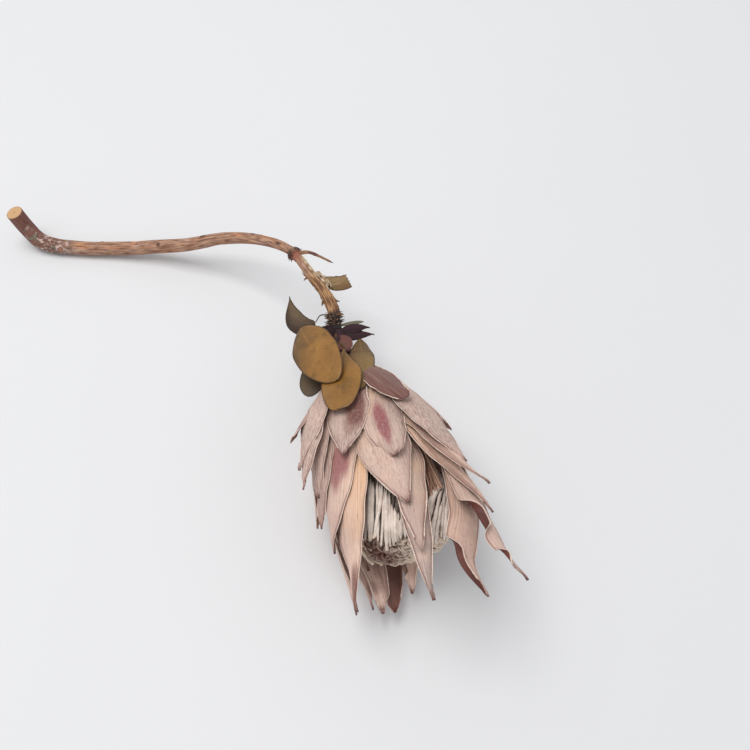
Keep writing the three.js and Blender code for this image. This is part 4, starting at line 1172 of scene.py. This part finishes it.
def bract_paints(bract, t, u, distance, rng):
    """How much of each tint lies where on a bract, with painted shade at its base.
    distance is how far in from its margin.
    """
    down, across = t[:, None], u[None, :]
    waver = wobble(across + 0.6 * down, rng, 0.3, 1)
    hand = bract.get("peach_hand", 0)
    beside = lerp(1, ease(-0.8, 0.6, hand * across), abs(hand))
    peach = bract.get("peach", 0.3) * (0.2 + 0.8 * (1 - ease(0.25, 0.95, down + 0.12 * waver))) * beside
    grey = bract.get("grey", 0.2) * (0.25 + 0.75 * ease(0.15, 0.8, down - 0.15 * waver))
    grey = grey * (1 - 0.5 * np.clip(peach, 0, 1))
    tints = dict(peach=peach, grey=grey, blush=0.12 * ease(0.75, 1, down), stain=0.0)
    for tint in ("blush", "stain"):
        if tint in bract:
            place, aside, length, width, strength = bract[tint]
            away = ((down - place) / length) ** 2 + ((across - aside) / width) ** 2
            away = away + 0.3 * wobble(3 * down + across, rng, 0.5, 2)
            tints[tint] = np.maximum(tints[tint], strength * (1 - ease(0.3, 1.4, away)))
    dry_tip = 0.9 * bract.get("dry", 1) * ease(0.955, 1, down + 0.03 * wobble(across, rng, 1, 3))
    dry_edge = 0.28 * (1 - ease(0.8, 2.2, distance)) * ease(0.55, 0.95, down)
    dry_edge = dry_edge * (0.5 + 0.5 * wobble(down, rng, 2, 6))
    cast = bract.get("dark", 0.0) * (0.93 + 0.07 * wobble(down, rng, 1, 3))
    # Painted shade: each bract is darkened towards its base, under the bracts that lie over it, and this
    # joins the dark tint
    painted_base_shade = 0.85 * (1 - ease(0.1, 0.42, down + 0.05 * waver))
    tints["dark"] = np.maximum(np.maximum(cast, dry_tip + dry_edge), painted_base_shade)
    tints["fuzz"] = bract.get("fuzz", 0.3) * (0.6 + 0.4 * wobble(down + 0.4 * across, rng, 0.5, 1.5))
    tints["fuzz"] = tints["fuzz"] * (1 - 0.7 * np.maximum(tints["stain"], tints["dark"]))
    thin = 1.25 + 0.6 * each_hand(t, u, rng, 1, 5)
    tints["inset"] = lerp(thin * distance / INSET_REACH, 1, ease(0.93, 1, down))
    tints["pale"] = bract.get("pale", 0.25)
    tints["tone_" + bract.get("tone", "dark")] = 1.0
    return {tint: np.clip(amount, 0, 1) for tint, amount in tints.items()}


def add_fringe(shape, points, normals, look, rng, finish):
    """Hairs along both margins of a blade, pointing out and on."""
    for column, inner in ((0, 2), (-1, -3)):
        edge, inside = points[:, column], points[:, inner]
        count = int(np.linalg.norm(np.diff(edge, axis=0), axis=1).sum() * HAIRS["count"])
        place = np.sort(rng.uniform(0.06, 0.99, count)) * (len(edge) - 1)
        index = np.minimum(place.astype(int), len(edge) - 2)
        share = (place - index)[:, None]
        roots = lerp(edge[index], edge[index + 1], share)
        outside = unit(edge[index] - inside[index])
        onward = unit(edge[index + 1] - edge[index])
        direction = outside * rng.uniform(0.3, 1, (count, 1)) + onward * rng.uniform(0.4, 1.4, (count, 1))
        direction = direction + normals[index, column] * rng.uniform(-0.3, 0.6, (count, 1))
        lengths = look.fringe / MM * rng.uniform(0.35, 1, count)
        add_hairs(shape, roots - outside * 0.1, direction, lengths, HAIRS["radius"], finish)


def seeded(seed):
    """The repeatable draw, from 0 to 1, that the solids use too."""
    state = seed
    while True:
        state = (state * DRAW["factor"] + DRAW["step"]) % DRAW["size"]
        yield state / DRAW["size"]


def hidden_bracts():
    """The bracts of the tiers, each moved a little by the draw."""
    draw = seeded(SEEDS["hidden"])
    for tier in HIDDEN_TIERS:
        for turn in tier["turns"]:
            moved = {name: (next(draw) * 2 - 1) * most for name, most in HIDDEN_JITTER.items()}
            tucked = TUCK if turn in tier.get("tucked", ()) else 0
            yield dict(
                HIDDEN_LOOKS, turn=(turn, turn, turn + moved["turn"]), root=tier["root"],
                reach=tier["reach"] + moved["reach"], belly=tier["belly"],
                flare=tier["flare"] + moved["flare"] - tucked, width=tier["width"])


class PROTEA_OT_bracts(Operator):
    """Make the bracts, tier by tier, on their receptacle"""

    bl_idname = "protea.bracts"
    bl_label = "Make the bracts"

    def execute(self, context):
        look = context.scene.protea_bracts
        finishes = [bract_outside(look), bract_inside(look), silky_fringe(look)]
        rng = np.random.default_rng(SEEDS["bracts"])
        seat = Shape(*BRACT_PAINTS)
        add_round(seat, rounded_profile(RECEPTACLE, steps=40), sides=64, inset=1, dark=0.8, stain=0.4)
        make_piece("receptacle", seat, finishes[:1], ["bracts"], "bracts")
        groups = (("bract", SEEN_BRACTS, SEEN_CELLS), ("bract_under", hidden_bracts(), HIDDEN_CELLS))
        for name, bracts, cells in groups:
            for number, bract in enumerate(bracts, 1):
                shape = Shape(*BRACT_PAINTS)
                add_bract(shape, bract, RECEPTACLE, rng, cells, look)
                make_piece(f"{name}_{number:02d}", shape, finishes, ["bracts"], "bracts")
        return {"FINISHED"}


def mass_path(steps=160):
    """The profile of the mass as a smooth curve: lengths, places, radii and directions out."""
    line, length = smooth_line([(s, r, 0) for s, r in FLORET_MASS], steps)
    s, r = line[:, 0], np.maximum(line[:, 1], 0)
    out = unit(np.stack([-np.gradient(r), np.gradient(s)], 1))
    return dict(length=np.linspace(0, length, steps + 1), s=s, r=r, out_s=out[:, 0], out_r=out[:, 1])


def length_at(path, radius):
    """The length along the profile where the dome has closed in to a radius."""
    widest = int(np.argmax(path["r"]))
    return np.interp(-radius, -path["r"][widest:], path["length"][widest:])


def strand_line(path, turn, rise, start, stop, rng, steps=36):
    """A style that stands off the mass by rise, between two lengths along its profile."""
    t = np.linspace(0, 1, steps + 1)
    place = lerp(start, stop, t)
    s, r, out_s, out_r = [
        np.interp(place, path["length"], path[name]) for name in ("s", "r", "out_s", "out_r")]
    rise = rise + 0.45 * wobble(t, rng, 0.5, 2.5)
    swing = turn + STYLE_SWIRL * ease(66, 112, s) + 2.0 * wobble(t, rng, 0.4, 1.8) * ease(0, 0.5, t)
    return t, on_head(s + out_s * rise, r + out_r * rise, swing)


def curl_line(turn, distance, rng, steps=9):
    """A curled end on the dome: it rises, and then hooks over."""
    height = np.interp(distance, DOME["distances"], DOME["heights"])
    centre = on_head(height + 0.3, distance, turn)
    heading = rng.uniform(0, 2 * math.pi)
    outside = outward(turn)
    slope = unit(ALONG * (1.2 - distance / 30) + outside * distance / 26)
    flat_a = unit(np.cross(slope, outward(turn + 90)))
    flat_b = np.cross(slope, flat_a)
    beside = flat_a * math.cos(heading) + flat_b * math.sin(heading)
    angle = np.linspace(0, rng.uniform(*CURL["bends"]), steps)[:, None]
    size = rng.uniform(*CURL["sizes"])
    return centre + slope * (np.sin(angle) * size * 1.1) + beside * ((1 - np.cos(angle)) * size)


class PROTEA_OT_florets(Operator):
    """Make the mass of florets: its strands, their curled ends and the thin threads beside them"""

    bl_idname = "protea.florets"
    bl_label = "Make the florets"

    def execute(self, context):
        look = context.scene.protea_florets
        finish = style_finish(look)
        rng = np.random.default_rng(SEEDS["florets"])
        core = Shape(*STYLE_PAINTS)
        inner = [(s, max(r - CORE["inset"], 0)) for s, r in FLORET_MASS[:-1]] + [(CORE["end"], 0)]
        # The core is painted dark, as shade deep inside the mass
        add_round(core, rounded_profile(inner, steps=60), sides=64, deep=0.6)
        make_piece("floret_core", core, [finish], ["florets"], "florets")
        path = mass_path()
        for name, ring in STYLE_RINGS.items():
            count = look.strands - ring["fewer"]
            self.strands(name, count, ring["rises"], ring["deep"], path, finish, rng)
        self.chosen("styles_front", FRONT_STYLES, finish, rng)
        self.chosen("styles_loose", LOOSE_STYLES, finish, rng)
        self.ends(look, finish, rng)
        self.threads(look, rng)
        return {"FINISHED"}

    def strands(self, name, count, rises, deep, path, finish, rng):
        """Styles all round the mass, that bend in over its dome."""
        shape = Shape(*STYLE_PAINTS)
        for k in range(count):
            aside = rng.uniform(-RING_STYLE["aside"], RING_STYLE["aside"])
            turn = 360 * (k + 0.5 * (deep > 0)) / count + aside
            seen = STYLES_SEEN[0] < (turn + 180) % 360 - 180 < STYLES_SEEN[1]
            if seen and not deep:
                continue
            stop = length_at(path, rng.uniform(*RING_STYLE["ends"]))
            rise, start = rng.uniform(*rises), rng.uniform(*RING_STYLE["starts"])
            t, line = strand_line(path, turn, rise, start, stop, rng)
            radii = rng.uniform(*RING_STYLE["radii"]) * (0.35 + 0.65 * ease(0, 0.45, t))
            radii = radii * (1 - 0.35 * ease(0.9, 1, t))
            radii = radii * (1 + 0.09 * wobble(t, rng, 3, 8))
            # Painted shade: darker in the inner ring, darker still behind the front styles, and towards the
            # base
            shadow = np.clip(deep + 0.5 * seen + 0.5 * (1 - ease(0.05, 0.4, t)), 0, 1)
            brown = 0.9 * ease(0.9, 1, t) + 0.25 * rng.random() * ease(0.4, 0.9, t)
            add_tube(shape, line, radii, sides=8, deep=shadow, brown=brown)
        make_piece(name, shape, [finish], ["florets"], "florets")

    def chosen(self, name, rows, finish, rng):
        """The styles whose places are known, pointed where they start."""
        shape = Shape(*STYLE_PAINTS)
        for radius, *points in rows:
            places, distances, turns = np.array(points, float).T
            line, _ = smooth_line(on_head(places, distances, turns), steps=30)
            t = np.linspace(0, 1, len(line))
            line = line + shake(t, 0.16, rng, 1, 3)
            radii = radius * (0.12 + 0.88 * ease(-0.02, 0.22, t)) * (1 - 0.45 * ease(0.7, 1, t))
            radii = radii * (1 + 0.12 * wobble(t, rng, 2, 6))
            brown = 0.8 * ease(0.86, 1, t) + 0.35 * (1 - ease(0, 0.16, t))
            dusk, deep = 0.16 * rng.random(), 0.1 * rng.random()
            add_tube(shape, line, radii, sides=10, brown=brown, dusk=dusk, deep=deep)
        make_piece(name, shape, [finish], ["florets"], "florets")

    def ends(self, look, finish, rng):
        """Curled ends over the top of the dome, and sparser ones out to its rim."""
        dome = Shape(*STYLE_PAINTS)
        for k in range(look.curls):
            share = (k + 0.5) / look.curls
            distance = DOME["radius"] * math.sqrt(share)
            line = curl_line(k * GOLDEN_TURN, distance, rng)
            width = np.linspace(*CURL["radii"], len(line)) * rng.uniform(0.7, 1.3)
            away = (k * GOLDEN_TURN - DUSK["side"] + 180) % 360 - 180
            dusk = DUSK["strength"] * math.exp(-(away / DUSK["spread"]) ** 2) * min(1, distance / 15)
            dusk = dusk + 0.12 * rng.random()
            # Painted shade at the root of each curled end
            add_tube(dome, line, width, sides=5, brown=rng.uniform(0.1, 1), dusk=dusk,
                     deep=0.1 * (1 - np.linspace(0, 1, len(line))))
        make_piece("curled_ends", dome, [finish], ["florets"], "florets")

    def threads(self, look, rng):
        """Thin brown threads that lie on the mass where its side shows between the bracts."""
        material, nodes, shader = new_finish("brown_threads")
        colour = nodes.mix(look.filament, look.thread, nodes.paint("brown"))
        colour = nodes.mix(colour, look.groove, nodes.paint("deep"))
        height = nodes.noise(nodes.place(), 3000)
        set_surface(nodes, shader, colour, nodes.fit(height, 0.3, 0.7, 0.6, 0.8), height, 0.2, 0.1)
        shape = Shape(*STYLE_PAINTS)
        for _ in range(look.filaments):
            t = np.linspace(0, 1, 17)
            start, end = lerp(*THREAD_STARTS, rng.random()), lerp(*THREAD_ENDS, rng.random())
            places, distances, turns = lerp(start, end, t[:, None]).T
            distances = distances + rng.uniform(-0.6, 2.4) + 0.6 * wobble(t, rng, 0.3, 1.2)
            line = on_head(places, distances, turns + 1.5 * wobble(t, rng, 0.3, 1))
            add_tube(shape, line, rng.uniform(*THREAD_RADII) * (1 - 0.4 * t), sides=5,
                     brown=rng.random(), deep=0.6 * (rng.random() < 0.2))
        make_piece("brown_threads", shape, [material], ["florets"], "florets")


# The leaves


def leaf_midline(leaf, t):
    base, middle, tip = (np.array(p, float) for p in (leaf["stalk"][-1], leaf["middle"], leaf["tip"]))
    return through(base, middle, tip, t[:, None])


def add_leaf(shape, leaf, look, rng):
    """A leathery blade with its midrib, side veins and margin, and its stalk."""
    t, u = blade_grid(LEAF_CELLS)
    line = leaf_midline(leaf, t)
    facing = np.broadcast_to(unit(leaf["face"]), line.shape)
    closing = np.minimum(t, TORN_END) if leaf.get("torn") else t
    blunt = np.where(t < 0.5, *leaf["blunt"])
    half = np.maximum(0.5, leaf["width"] * np.maximum(np.sin(np.pi * closing), 0) ** blunt) / 2
    edge = np.abs(u)[None, :]
    half = half[:, None] * (1 + 0.03 * wobble(t, rng, 1, 4)[:, None] * edge)
    half = half * np.where(u < 0, *leaf.get("hands", (1, 1)))[None, :]
    free = ease(0, 0.3, t)[:, None]
    sides = each_hand(t, u, rng, 1, 3)
    rib = np.exp(-(u[None, :] * half / 0.45) ** 2) * (1 - 0.6 * t[:, None])
    slant = t[:, None] * 8 - edge * 2.6 + 0.3 * wobble(edge, rng, 1, 3)
    veins = np.maximum(0, np.cos(2 * np.pi * slant)) ** 20 * (1 - rib)
    veins = veins * ease(0.05, 0.2, edge) * (1 - ease(0.8, 0.97, edge))
    ripple = 0.16 * wobble(t[:, None] + 0.7 * u[None, :], rng, 1, 4)
    ripple = ripple + 0.12 * wobble(t[:, None] - u[None, :], rng, 2, 5)
    lift = 0.45 * edge ** 2 * sides * free - 0.22 * rib + 0.04 * veins + ripple * free
    lift = lift + 0.25 * ease(0.93, 1, edge) * free
    points, normals = blade_surface(t, u, line, facing, half, np.full(len(t), leaf["cup"]), 0.0, lift)
    if leaf.get("torn"):
        onward = unit(line[-1] - line[-2])
        torn = ease(0.8, 1, t)[:, None] * 0.9 * wobble(u, rng, 2, 5)[None, :]
        points = points + onward * torn[..., None]
    thickness = lerp(look.thickness, look.margin, edge ** 3) / MM
    end = np.minimum(t, 1 - t)[:, None] * 60
    rim = 1 - ease(0.15, 0.8, np.minimum((1 - edge) * half, end))
    shade = 0.9 * (1 - ease(-0.1, 0.55, t[:, None] + 0.5 * leaf.get("shaded", 0) * u[None, :]))
    add_blade(shape, points, normals, thickness, (0, 0), blade_grain(t, u, half, LEAF_GRAIN),
              vein=np.clip(0.8 * rib + 0.2 * veins, 0, 1), rim=rim, shade=shade)
    under = leaf_midline(leaf, np.array([0, 0.12])) - unit(leaf["face"]) * STALK_DEPTH
    stalk, _ = smooth_line([*leaf["stalk"][:-1], *under], steps=30)
    radius = leaf.get("stalk_radius", STALK_RADIUS) * np.linspace(1, 0.6, len(stalk))
    add_tube(shape, stalk, radius, sides=12, vein=0.2, shade=0.9, rim=0.35)


class PROTEA_OT_leaves(Operator):
    """Make the six leathery leaves on their stalks"""

    bl_idname = "protea.leaves"
    bl_label = "Make the leaves"

    def execute(self, context):
        look = context.scene.protea_leaves
        finishes = {}
        for name, gloss in LEAF_GLOSS.items():
            colours = [getattr(look, name + shade) for shade in ("", "_light", "_dark")]
            finishes[name] = leaf_finish(look, name, colours, gloss)
        rng = np.random.default_rng(SEEDS["leaves"])
        for name, leaf in LEAVES.items():
            shape = Shape(*LEAF_PAINTS)
            add_leaf(shape, leaf, look, rng)
            make_piece(name, shape, [finishes[leaf["finish"]]], [name], LEAF_SLOTS[leaf["finish"]])
        return {"FINISHED"}


# The stem and its collar


def spot(angle, side, wide):
    """1 at a side of the stem, in degrees round it, and 0 beyond a width in radians."""
    away = np.angle(np.exp(1j * (angle - math.radians(side))))
    return np.exp(-(away / wide) ** 2)


def bark_marks(x, angle, length):
    """Where on the stem each kind of bark lies. x is in millimetres from the cut end."""
    ring = NODE_RING["at"] * length
    flakes = ease(16, 26, x) * (1 - ease(40, 56, x))
    patch = np.exp(-((x - 13) / 3) ** 4) * spot(angle, 60, 0.5)
    peeled = ease(ring + 3, ring + 7, x) * (1 - ease(ring + 26, ring + 34, x))
    marks = {
        "maroon": 0.85 * (1 - ease(20, 50, x)),
        "flake": np.maximum(flakes, patch),
        "red": 0.7 * ease(ring, ring + 2, x) * (1 - ease(ring + 3, ring + 11, x)),
        "torn": ease(ring + 12, ring + 26, x),
        "char": np.maximum(
            ease(length - 13, length - 9, x),
            0.9 * (1 - ease(1.1, 2.6, np.abs(x - ring))) * (1 - 0.5 * spot(angle, RING_FRONT, 0.6))),
        "strip": peeled * spot(angle, STRIP_SIDE, 0.6),
    }
    for name in ("scar", "knot"):
        marks[name] = 0.0
        for place, side, reach, wide in SCARS[name]:
            mark = np.exp(-((x - place * length) / reach) ** 4) * spot(angle, side, wide)
            marks[name] = np.maximum(marks[name], mark)
    return marks


class PROTEA_OT_stem(Operator):
    """Make the stem with its bark, its ring, its cut face, its twig and its torn stubs"""

    bl_idname = "protea.stem"
    bl_label = "Make the stem"

    def execute(self, context):
        look = context.scene.protea_stem
        bark, wood = bark_finish(look), cut_wood(look)
        rng = np.random.default_rng(SEEDS["stem"])
        shape = Shape(*BARK_PAINTS)
        steps, sides = STEM_CELLS
        line, length = smooth_line([row[:3] for row in STEM_LINE], steps)
        t = np.linspace(0, 1, steps + 1)
        angle = 2 * np.pi * np.arange(sides) / sides
        x = (t * length)[:, None]
        given = [row[3] for row in STEM_LINE]
        radius = np.interp(t * (len(given) - 1), range(len(given)), given)[:, None]
        relief = look.relief / MM
        radius = radius + 0.5 * relief * around(x, angle, rng, (1, 4), 0.002, 0.02)
        radius = radius + 0.4 * relief * around(x, angle, rng, (6, 14), 0.002, 0.03)
        ring = NODE_RING["at"] * length
        beside = np.clip((x - ring) / NODE_RING["length"], -0.5, 0.5)
        swell = NODE_RING["radius"] - NODE_RING["crown"] * beside ** 2
        swell = swell + 0.5 * around(x, angle, rng, (3, 9), 0.1, 0.4)
        radius = lerp(radius, np.maximum(radius, swell), 1 - ease(1.7, 2.6, np.abs(x - ring)))
        marks = bark_marks(x, angle[None, :], length)
        radius = radius + marks["torn"] * 0.45 * around(x, angle, rng, (5, 12), 0.03, 0.14)
        radius = radius + 0.35 * marks["knot"] - 0.25 * marks["scar"] + 0.4 * marks["strip"]
        radius = radius + marks["flake"] * 0.12 * around(x, angle, rng, (3, 12), 0.1, 0.4)
        rings = tube(line, radius, sides)
        across, down = np.meshgrid(np.append(np.arange(sides), sides) / sides, t * length)
        closed = np.concatenate([rings, rings[:, :1]], 1)
        grain = np.stack([across, down], -1)
        spread = {}
        for name, value in marks.items():
            value = np.broadcast_to(value, (steps + 1, sides))
            spread[name] = np.concatenate([value, value[:, :1]], 1)
        shape.add(closed, grid_faces(steps + 1, sides + 1), 0, grain, **spread)
        self.add_ends(shape, line, closed[0, :-1], closed[-1, :-1])
        make_piece("stem", shape, [bark, wood], ["stem"], "stem")
        self.add_twigs(bark, rng)
        return {"FINISHED"}

    def add_ends(self, shape, line, first, last):
        """The cut face, as rings about its pith, and the closed far end."""
        sides = len(first)
        shares = np.array([1, 0.94, 0.75, 0.5, 0.25])
        face = line[0] + (first - line[0])[None] * shares[:, None, None]
        axis = unit(line[0] - line[1])
        face = face + axis * np.array([0, 0.18, 0.22, 0.2, 0.16])[:, None, None]
        places = np.concatenate([face.reshape(-1, 3), [line[0] + axis * 0.1]])
        faces = grid_faces(len(shares), sides, closed=True, flip=True)
        centre, inner = len(shares) * sides, (len(shares) - 1) * sides
        faces += [(centre, inner + (k + 1) % sides, inner + k) for k in range(sides)]
        shape.add(places, faces, 1, None, reach=np.append(np.repeat(shares, sides), 0))
        places = np.concatenate([last, [line[-1]]])
        shape.add(places, [(sides, k, (k + 1) % sides) for k in range(sides)], 0, None, char=1.0)

    def add_twigs(self, bark, rng):
        """The twig, and the torn stubs, peeled strips, scales and slivers of bark."""
        twig = Shape(*BARK_PAINTS)
        line, _ = smooth_line(TWIG["points"], steps=60)
        t = np.linspace(0, 1, len(line))
        radii = lerp(*TWIG["radii"], t) * (1 + 0.15 * wobble(t, rng, 2, 6)) * (1 - 0.6 * ease(0.9, 1, t))
        add_tube(twig, line, radii, sides=12, torn=0.6 * (1 - ease(0.3, 0.4, t)) + 0.7 * ease(0.6, 0.65, t),
                 maroon=ease(0.3, 0.4, t) * (1 - ease(0.55, 0.65, t)), char=ease(0.9, 1, t))
        make_piece("twig", twig, [bark], ["stem"], "stem")
        torn = Shape(*BARK_PAINTS)
        for stub in STUBS:
            line, _ = smooth_line(stub["points"], steps=14)
            t = np.linspace(0, 1, len(line))
            line = line + shake(t, 0.25, rng, 1, 2) * t[:, None]
            thick, thin = stub["radii"]
            add_tube(torn, line, lerp(thick, 0.25 * thin, t ** 0.8), sides=9, torn=1.0, char=0.6 * t ** 4)
        for peel in PEELS:
            line, _ = smooth_line(peel["points"], steps=20)
            t = np.linspace(0, 1, len(line))
            line = line + shake(t, 0.25, rng, 1, 3)
            radii = lerp(*peel["radii"], t) * (1 + 0.5 * wobble(t, rng, 2, 5))
            pale = np.clip(0.5 + 0.6 * wobble(t, rng, 1, 4), 0, 0.9)
            add_tube(torn, line, radii, sides=7, torn=1.0, strip=pale)
        stem, _ = smooth_line([row[:3] for row in STEM_LINE], STEM_CELLS[0])
        for scales in SCALES:
            self.add_scales(torn, stem, rng, **scales)
        for _ in range(SLIVERS["count"]):
            at = int(rng.uniform(*SLIVERS["stretch"]) * STEM_CELLS[0])
            tangent = unit(stem[at + 1] - stem[at - 1])
            side = unit(np.cross(tangent, rng.normal(size=3)))
            along = tangent * rng.choice([-1, 1]) + side * rng.uniform(0.05, 0.4)
            root = stem[at] + side * SLIVERS["radius"]
            reach = rng.uniform(*SLIVERS["lengths"])
            t = np.linspace(0, 1, 6)
            line = root + unit(along) * (reach * t)[:, None]
            radii = rng.uniform(*SLIVERS["radii"]) * (1 - 0.85 * t)
            add_tube(torn, line, radii, sides=5, torn=rng.uniform(0.6, 1))
        make_piece("torn_bark", torn, [bark], ["stem"], "stem")

    def add_scales(self, shape, stem, rng, stretch, count, radius, lengths):
        """Short ragged scales, dark or brown, that stand out all round a stretch of the stem."""
        at = (rng.uniform(*stretch, count) * (len(stem) - 2)).astype(int) + 1
        tangent = unit(stem[at + 1] - stem[at - 1])
        side = unit(np.cross(tangent, rng.normal(size=(count, 3))))
        direction = side + tangent * rng.uniform(-0.4, 0.9, (count, 1))
        reach = rng.uniform(*lengths, count)
        add_hairs(shape, stem[at] + side * radius * 0.8, direction, reach, 0.7, 0,
                  char=(rng.random(count) < 0.65) * 0.9, torn=rng.uniform(0.1, 0.7, count))


class PROTEA_OT_collar(Operator):
    """Make the collar under the bloom, with its small dark bracts"""

    bl_idname = "protea.collar"
    bl_label = "Make the collar"

    def execute(self, context):
        finish = dark_bract(context.scene.protea_stem)
        look = context.scene.protea_bracts
        rng = np.random.default_rng(SEEDS["collar"])
        body = Shape(*COLLAR_PAINTS)
        add_round(body, rounded_profile(COLLAR, steps=30), sides=40)
        make_piece("collar", body, [finish], ["collar"], "collar")
        for number, bract in enumerate(COLLAR_BRACTS, 1):
            shape = Shape(*COLLAR_PAINTS)
            add_bract(shape, dict(COLLAR_CALM, **bract), COLLAR, rng, COLLAR_CELLS, look, (0, 0, None))
            make_piece(f"collar_bract_{number}", shape, [finish], ["collar"], "collar")
        return {"FINISHED"}


# The stage


class PROTEA_OT_stage(Operator):
    """Make the floor, the lights and the camera"""

    bl_idname = "protea.stage"
    bl_label = "Make the stage"

    def execute(self, context):
        look = context.scene.protea_stage
        self.floor(look)
        self.lights(context.scene, look)
        self.camera(context.scene)
        context.scene.view_settings.view_transform = "Standard"
        return {"FINISHED"}

    def floor(self, look):
        mesh = bpy.data.meshes.new("floor")
        hands = ((-1, -1), (1, -1), (1, 1), (-1, 1))
        corners = [(FLOOR_REACH * x, FLOOR_REACH * y, CAD_BOX[0].z) for x, y in hands]
        mesh.from_pydata(corners, [], [(0, 1, 2, 3)])
        material, nodes, shader = new_finish("pale_floor")
        veins = mottle(nodes, 3, 0.3, 0.7)
        colour = nodes.mix(look.floor, [FLOOR_CLOUD * c for c in look.floor], veins)
        grit = nodes.noise(nodes.place(), 900)
        set_surface(nodes, shader, colour, nodes.fit(grit, 0.0, 1.0, 0.55, 0.65), grit, 0.02, 0.05)
        mesh.materials.append(material)
        floor = bpy.data.objects.new("floor", mesh)
        bpy.context.scene.collection.objects.link(floor)

    def lights(self, scene, look):
        world = bpy.data.worlds.new("soft_sky")
        world.use_nodes = True
        sky = world.node_tree.nodes["Background"]
        sky.inputs[0].default_value = (*SKY_TINT, 1)
        sky.inputs[1].default_value = look.sky
        scene.world = world
        lamp = bpy.data.lights.new("window", "AREA")
        lamp.energy = look.key
        lamp.shape = "RECTANGLE"
        lamp.size, lamp.size_y = LAMP["size"]
        lamp.color = LAMP["tint"]
        light = bpy.data.objects.new("window", lamp)
        place = in_row_frame([LAMP["place"]])[0]
        light.location = place
        light.rotation_euler = (Vector((0, 0, 0)) - Vector(place)).to_track_quat("-Z", "Y").to_euler()
        scene.collection.objects.link(light)

    def camera(self, scene):
        """Placed as the photograph was taken: from above, with the head pointing at it."""
        lens = bpy.data.cameras.new("camera")
        lens.sensor_fit = "HORIZONTAL"
        lens.angle = math.radians(CAMERA["view"])
        lens.clip_start = 0.01
        camera = bpy.data.objects.new("camera", lens)
        up = math.radians(CAMERA["elevation"])
        place = [(0, -CAMERA["distance"] * math.cos(up), CAMERA["distance"] * math.sin(up))]
        camera.location = in_row_frame(place)[0]
        camera.rotation_euler = (math.pi / 2 - up, 0, math.radians(LAY["turn"]))
        scene.collection.objects.link(camera)
        scene.camera = camera


class PROTEA_PT_panel(Panel):
    """Lists the steps and their settings"""

    bl_label = "Dried king protea"
    bl_idname = "PROTEA_PT_panel"
    bl_space_type = "VIEW_3D"
    bl_region_type = "UI"
    bl_category = "Protea"

    def draw(self, context):
        for name, settings in SETTINGS.items():
            box = self.layout.box()
            for operator in OPERATORS[name]:
                box.operator(operator.bl_idname)
            for field in settings.__annotations__:
                box.prop(getattr(context.scene, name), field)


SETTINGS = {
    "protea_stem": StemSettings,
    "protea_bracts": BractSettings,
    "protea_florets": FloretSettings,
    "protea_leaves": LeafSettings,
    "protea_stage": StageSettings,
}
OPERATORS = {
    "protea_stem": (PROTEA_OT_stem, PROTEA_OT_collar),
    "protea_bracts": (PROTEA_OT_bracts,),
    "protea_florets": (PROTEA_OT_florets,),
    "protea_leaves": (PROTEA_OT_leaves,),
    "protea_stage": (PROTEA_OT_stage,),
}


def register():
    for name, settings in SETTINGS.items():
        bpy.utils.register_class(settings)
        setattr(bpy.types.Scene, name, PointerProperty(type=settings))
        for operator in OPERATORS[name]:
            bpy.utils.register_class(operator)
    bpy.utils.register_class(PROTEA_PT_panel)


def unregister():
    bpy.utils.unregister_class(PROTEA_PT_panel)
    for name, settings in SETTINGS.items():
        for operator in OPERATORS[name]:
            bpy.utils.unregister_class(operator)
        delattr(bpy.types.Scene, name)
        bpy.utils.unregister_class(settings)


def main():
    register()
    bpy.ops.protea.stage()
    bpy.ops.protea.stem()
    bpy.ops.protea.collar()
    bpy.ops.protea.leaves()
    bpy.ops.protea.florets()
    bpy.ops.protea.bracts()


if __name__ == "__main__":
    main()
